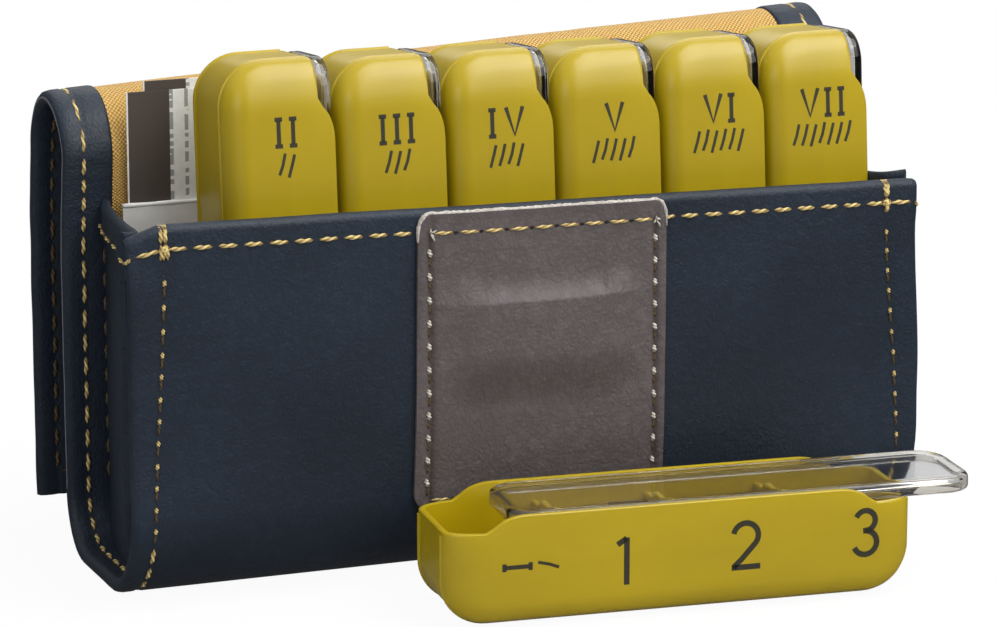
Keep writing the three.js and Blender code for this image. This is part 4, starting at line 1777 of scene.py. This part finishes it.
def labelMesh(number):
    points, faces = [], []

    def surface(out):
        return -tray["width"] / 2 - out * labels["inkDepth"] + labels["inkSunk"]

    def draw(paths, height, stroke, place):
        for path in paths:
            ribbon(points, faces, [(x * height, y * height) for x, y in path], stroke, place)

    def upright(start):
        return lambda spot, out: (start - spot.y, surface(out), labels["numeralW"] + spot.x)

    def lying(u, w):
        return lambda spot, out: (u + spot.x, surface(out), w + spot.y)

    draw(numeralPaths(number), labels["numeralHeight"], labels["numeralStroke"], upright(labels["numeralU"]))
    tall, lean = labels["tallyHeight"], labels["tallySlant"]
    for stroke in range(number):
        x = (stroke - (number - 1) / 2) * labels["tallyPitch"]
        uneven = labels["tallyUneven"] * math.sin(stroke * 2.3 + number)
        foot, head = (x - lean * tall / 2, uneven), (x + lean * tall / 2, tall + uneven * 0.6)
        draw([[foot, (x + 0.1, tall * 0.5), head]], 1, labels["tallyStroke"], upright(labels["tallyU"]))
    for digit, place in zip((1, 2, 3), labels["digitPlaces"]):
        draw(digitPaths(digit), labels["digitHeight"], labels["digitStroke"], lying(*place))
    return points, faces


# The standing trays lean with the pocket, and the loose one stands on its beads, turned a little
def trayPlace(day):
    low, high = boxOf(f"tray_{day}")
    middle = (low + high) / 2
    if day == "monday":
        foot = Vector((middle.x, middle.y, low.z + tray["ridge"]))
        return Matrix.Translation(foot * mm) @ Matrix.Rotation(tray["looseTurn"], 4, "Z")
    place = Matrix.Translation(Vector((low.x, middle.y, middle.z)) * mm)
    return place @ Matrix.Rotation(-tray["lean"], 4, "X") @ Matrix.Rotation(math.pi / 2, 4, "Y")


# The loose tray's lid is partly open
def lidShift(day):
    if day != "monday":
        return 0.0
    lidLow, lidHigh = boxOf("lid_monday")
    trayLow, trayHigh = boxOf("tray_monday")
    return ((lidLow + lidHigh).x - (trayLow + trayHigh).x) / 2 / math.cos(tray["looseTurn"])


# All trays share one mesh, and all lids another
def buildTrays():
    points, faces = trayMesh()
    partitionMesh(points, faces)
    ridgeMesh(points, faces)
    model = makePiece("tray_model", points, faces, trayYellow, "tray_plastic", tray["smooth"])
    lidModel = makePiece("lid_model", *lidMesh(), lidClear, "lid_plastic", lid["smooth"])
    spots = [vertex.co / mm for vertex in lidModel.data.vertices]
    inward = [min(lid["length"] / 2 - abs(spot.x), lid["width"] / 2 - abs(spot.y)) for spot in spots]
    tagPoints(lidModel, "rim", [1 - ease(reach, *lid["duskyRim"]) for reach in inward])
    for number, day in enumerate(days):
        place = trayPlace(day)
        body = placePiece(f"day_tray_{day}", model.data, "tray_plastic")
        body.matrix_world = place
        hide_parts(f"tray_{day}")
        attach(body, f"{day}_tray")
        cap = placePiece(f"clear_lid_{day}", lidModel.data, "lid_plastic")
        cap.matrix_world = place @ Matrix.Translation(Vector((lidShift(day), 0, 0)) * mm)
        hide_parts(f"lid_{day}")
        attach(cap, f"{day}_lid")
        label = makePiece(f"print_{day}", *labelMesh(number + 1), ink, "tray_plastic", 30)
        label.matrix_world = place
        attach(label, f"{day}_tray")
    bpy.data.objects.remove(model)
    bpy.data.objects.remove(lidModel)


buildTrays()
print("trays and lids built")


# Cards, their sleeve and the magnets keep their solids, with finished surfaces
def paint(node, material):
    solid = frame["nodes"][node]
    solid.data.materials.clear()
    solid.data.materials.append(material)


for card in ("card_front", "card_back"):
    paint(card, cardLook(card + "Print", boxOf(card)[0].x))
paint("card_sleeve", sleeveFilm)
paint("front_magnet", platedSteel)
paint("flap_magnet", platedSteel)

welt = {"columns": 46, "sides": 8, "radius": 0.5, "ripple": 0.05, "flatness": 0.9, "rise": 0.15, "turn": 1.7}


def buildSleeveWelt():
    low, high = boxOf("card_sleeve")
    middle = Vector((0, (low.y + high.y) / 2, high.z + welt["rise"]))
    points = []
    for column in range(welt["columns"] + 1):
        x = mix(low.x, high.x, column / welt["columns"])
        reach = welt["radius"] + welt["ripple"] * math.sin(column * welt["turn"])
        for angle in circle(welt["sides"]):
            y = middle.y + math.cos(angle) * reach * welt["flatness"]
            points.append((x, y, middle.z + math.sin(angle) * reach))
    faces = ringFaces(welt["columns"] + 1, welt["sides"])
    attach(makePiece("sleeve_welt", points, faces, filmEdge, "sleeve"), "case")


buildSleeveWelt()
print("cards and sleeve finished")


# Floor: white to the camera and through the lids, dull in reflections, and it keeps the shadow
floorSettings = {
    "size": 12,
    "low": 0.56,
    "high": 0.6,
    "glow": 1.02,
    "glowShare": 0.93,
    "throughShare": 0.8,
    "dull": 0.12,
    "sunk": 0.2,
}


def buildFloor():
    place = (0, 0, -floorSettings["sunk"] * mm)
    bpy.ops.mesh.primitive_plane_add(size=floorSettings["size"], location=place)
    floor = bpy.context.object
    floor.name = "floor"
    look = newLook("paleFloor")
    seen = look.ray("Is Camera Ray").most(look.ray("Is Transmission Ray") * floorSettings["throughShare"])
    mirrored = look.ray("Is Glossy Ray") * (1 - seen)
    speck = look.cloud(look.place(), 30)
    tint = look.blendColour(speck, grey(floorSettings["low"]), grey(floorSettings["high"]))
    surface = look.add("ShaderNodeBsdfDiffuse", {}, {"Color": tint})
    glow = look.add("ShaderNodeEmission", {}, {"Color": grey(1), "Strength": floorSettings["glow"]})
    dull = look.add("ShaderNodeEmission", {}, {"Color": grey(1), "Strength": floorSettings["dull"]})
    lit = look.blendShader(seen * floorSettings["glowShare"], surface, glow)
    floor.data.materials.append(look.close(look.blendShader(mirrored, lit, dull)))


# White to the camera; for light and reflections, bright overhead and dim at the sides
studio = {"From Min": 0.2, "From Max": 0.85, "To Min": 0.21, "To Max": 0.95}
studioRays = {"Is Transmission Ray": 0.7, "Is Camera Ray": 1.0}


def buildWorld():
    look = Look(bpy.data.worlds.new("studio"))
    height = look.parts(look.place("Generated"))[2]
    settings = {"interpolation_type": "SMOOTHSTEP"}
    strength = look.add("ShaderNodeMapRange", settings, {"Value": height, **studio}, "Result")
    for ray, level in studioRays.items():
        strength = look.add("ShaderNodeMix", {}, {0: look.ray(ray), 2: strength, 3: level})
    background = look.add("ShaderNodeBackground", {}, {"Strength": strength})
    scene.world = look.close(background, "ShaderNodeOutputWorld")


lamps = {
    "top": {"at": (0.34, -0.3, 1.0), "aim": (0, 0, 0.05), "size": 0.8, "power": 8.8},
    "front": {"at": (0.4, -0.82, 0.68), "aim": (0, 0, 0.05), "size": 0.8, "power": 4.4},
    "left": {"at": (-0.8, -0.75, 0.45), "aim": (0, 0, 0.06), "size": 0.6, "power": 1.6},
    "back": {"at": (0.3, 0.95, 0.7), "aim": (0, 0, 0.05), "size": 0.7, "power": 2.2},
}
camera = {
    "at": (-0.31475, -0.82810, 0.26130),
    "way": (0.3468, 0.90806, -0.23485),
    "lens": 164.06,
    "sensor": 36,
    "near": 0.05,
    "far": 20,
}


def placeTowards(name, data, at, way):
    piece = bpy.data.objects.new(name, data)
    scene.collection.objects.link(piece)
    piece.location = at
    piece.rotation_mode = "QUATERNION"
    piece.rotation_quaternion = way.to_track_quat("-Z", "Y")
    return piece


def buildLamps():
    for name, lamp in lamps.items():
        data = bpy.data.lights.new(name, "AREA")
        data.shape = "SQUARE"
        data.size = lamp["size"]
        data.energy = lamp["power"]
        placeTowards(name, data, lamp["at"], Vector(lamp["aim"]) - Vector(lamp["at"]))


def buildCamera():
    data = bpy.data.cameras.new("photoCamera")
    data.lens = camera["lens"]
    data.sensor_width = camera["sensor"]
    data.clip_start, data.clip_end = camera["near"], camera["far"]
    scene.camera = placeTowards("photoCamera", data, camera["at"], Vector(camera["way"]))


buildFloor()
buildWorld()
buildLamps()
buildCamera()
scene.view_settings.view_transform = "Standard"
print("stage, light and camera set")
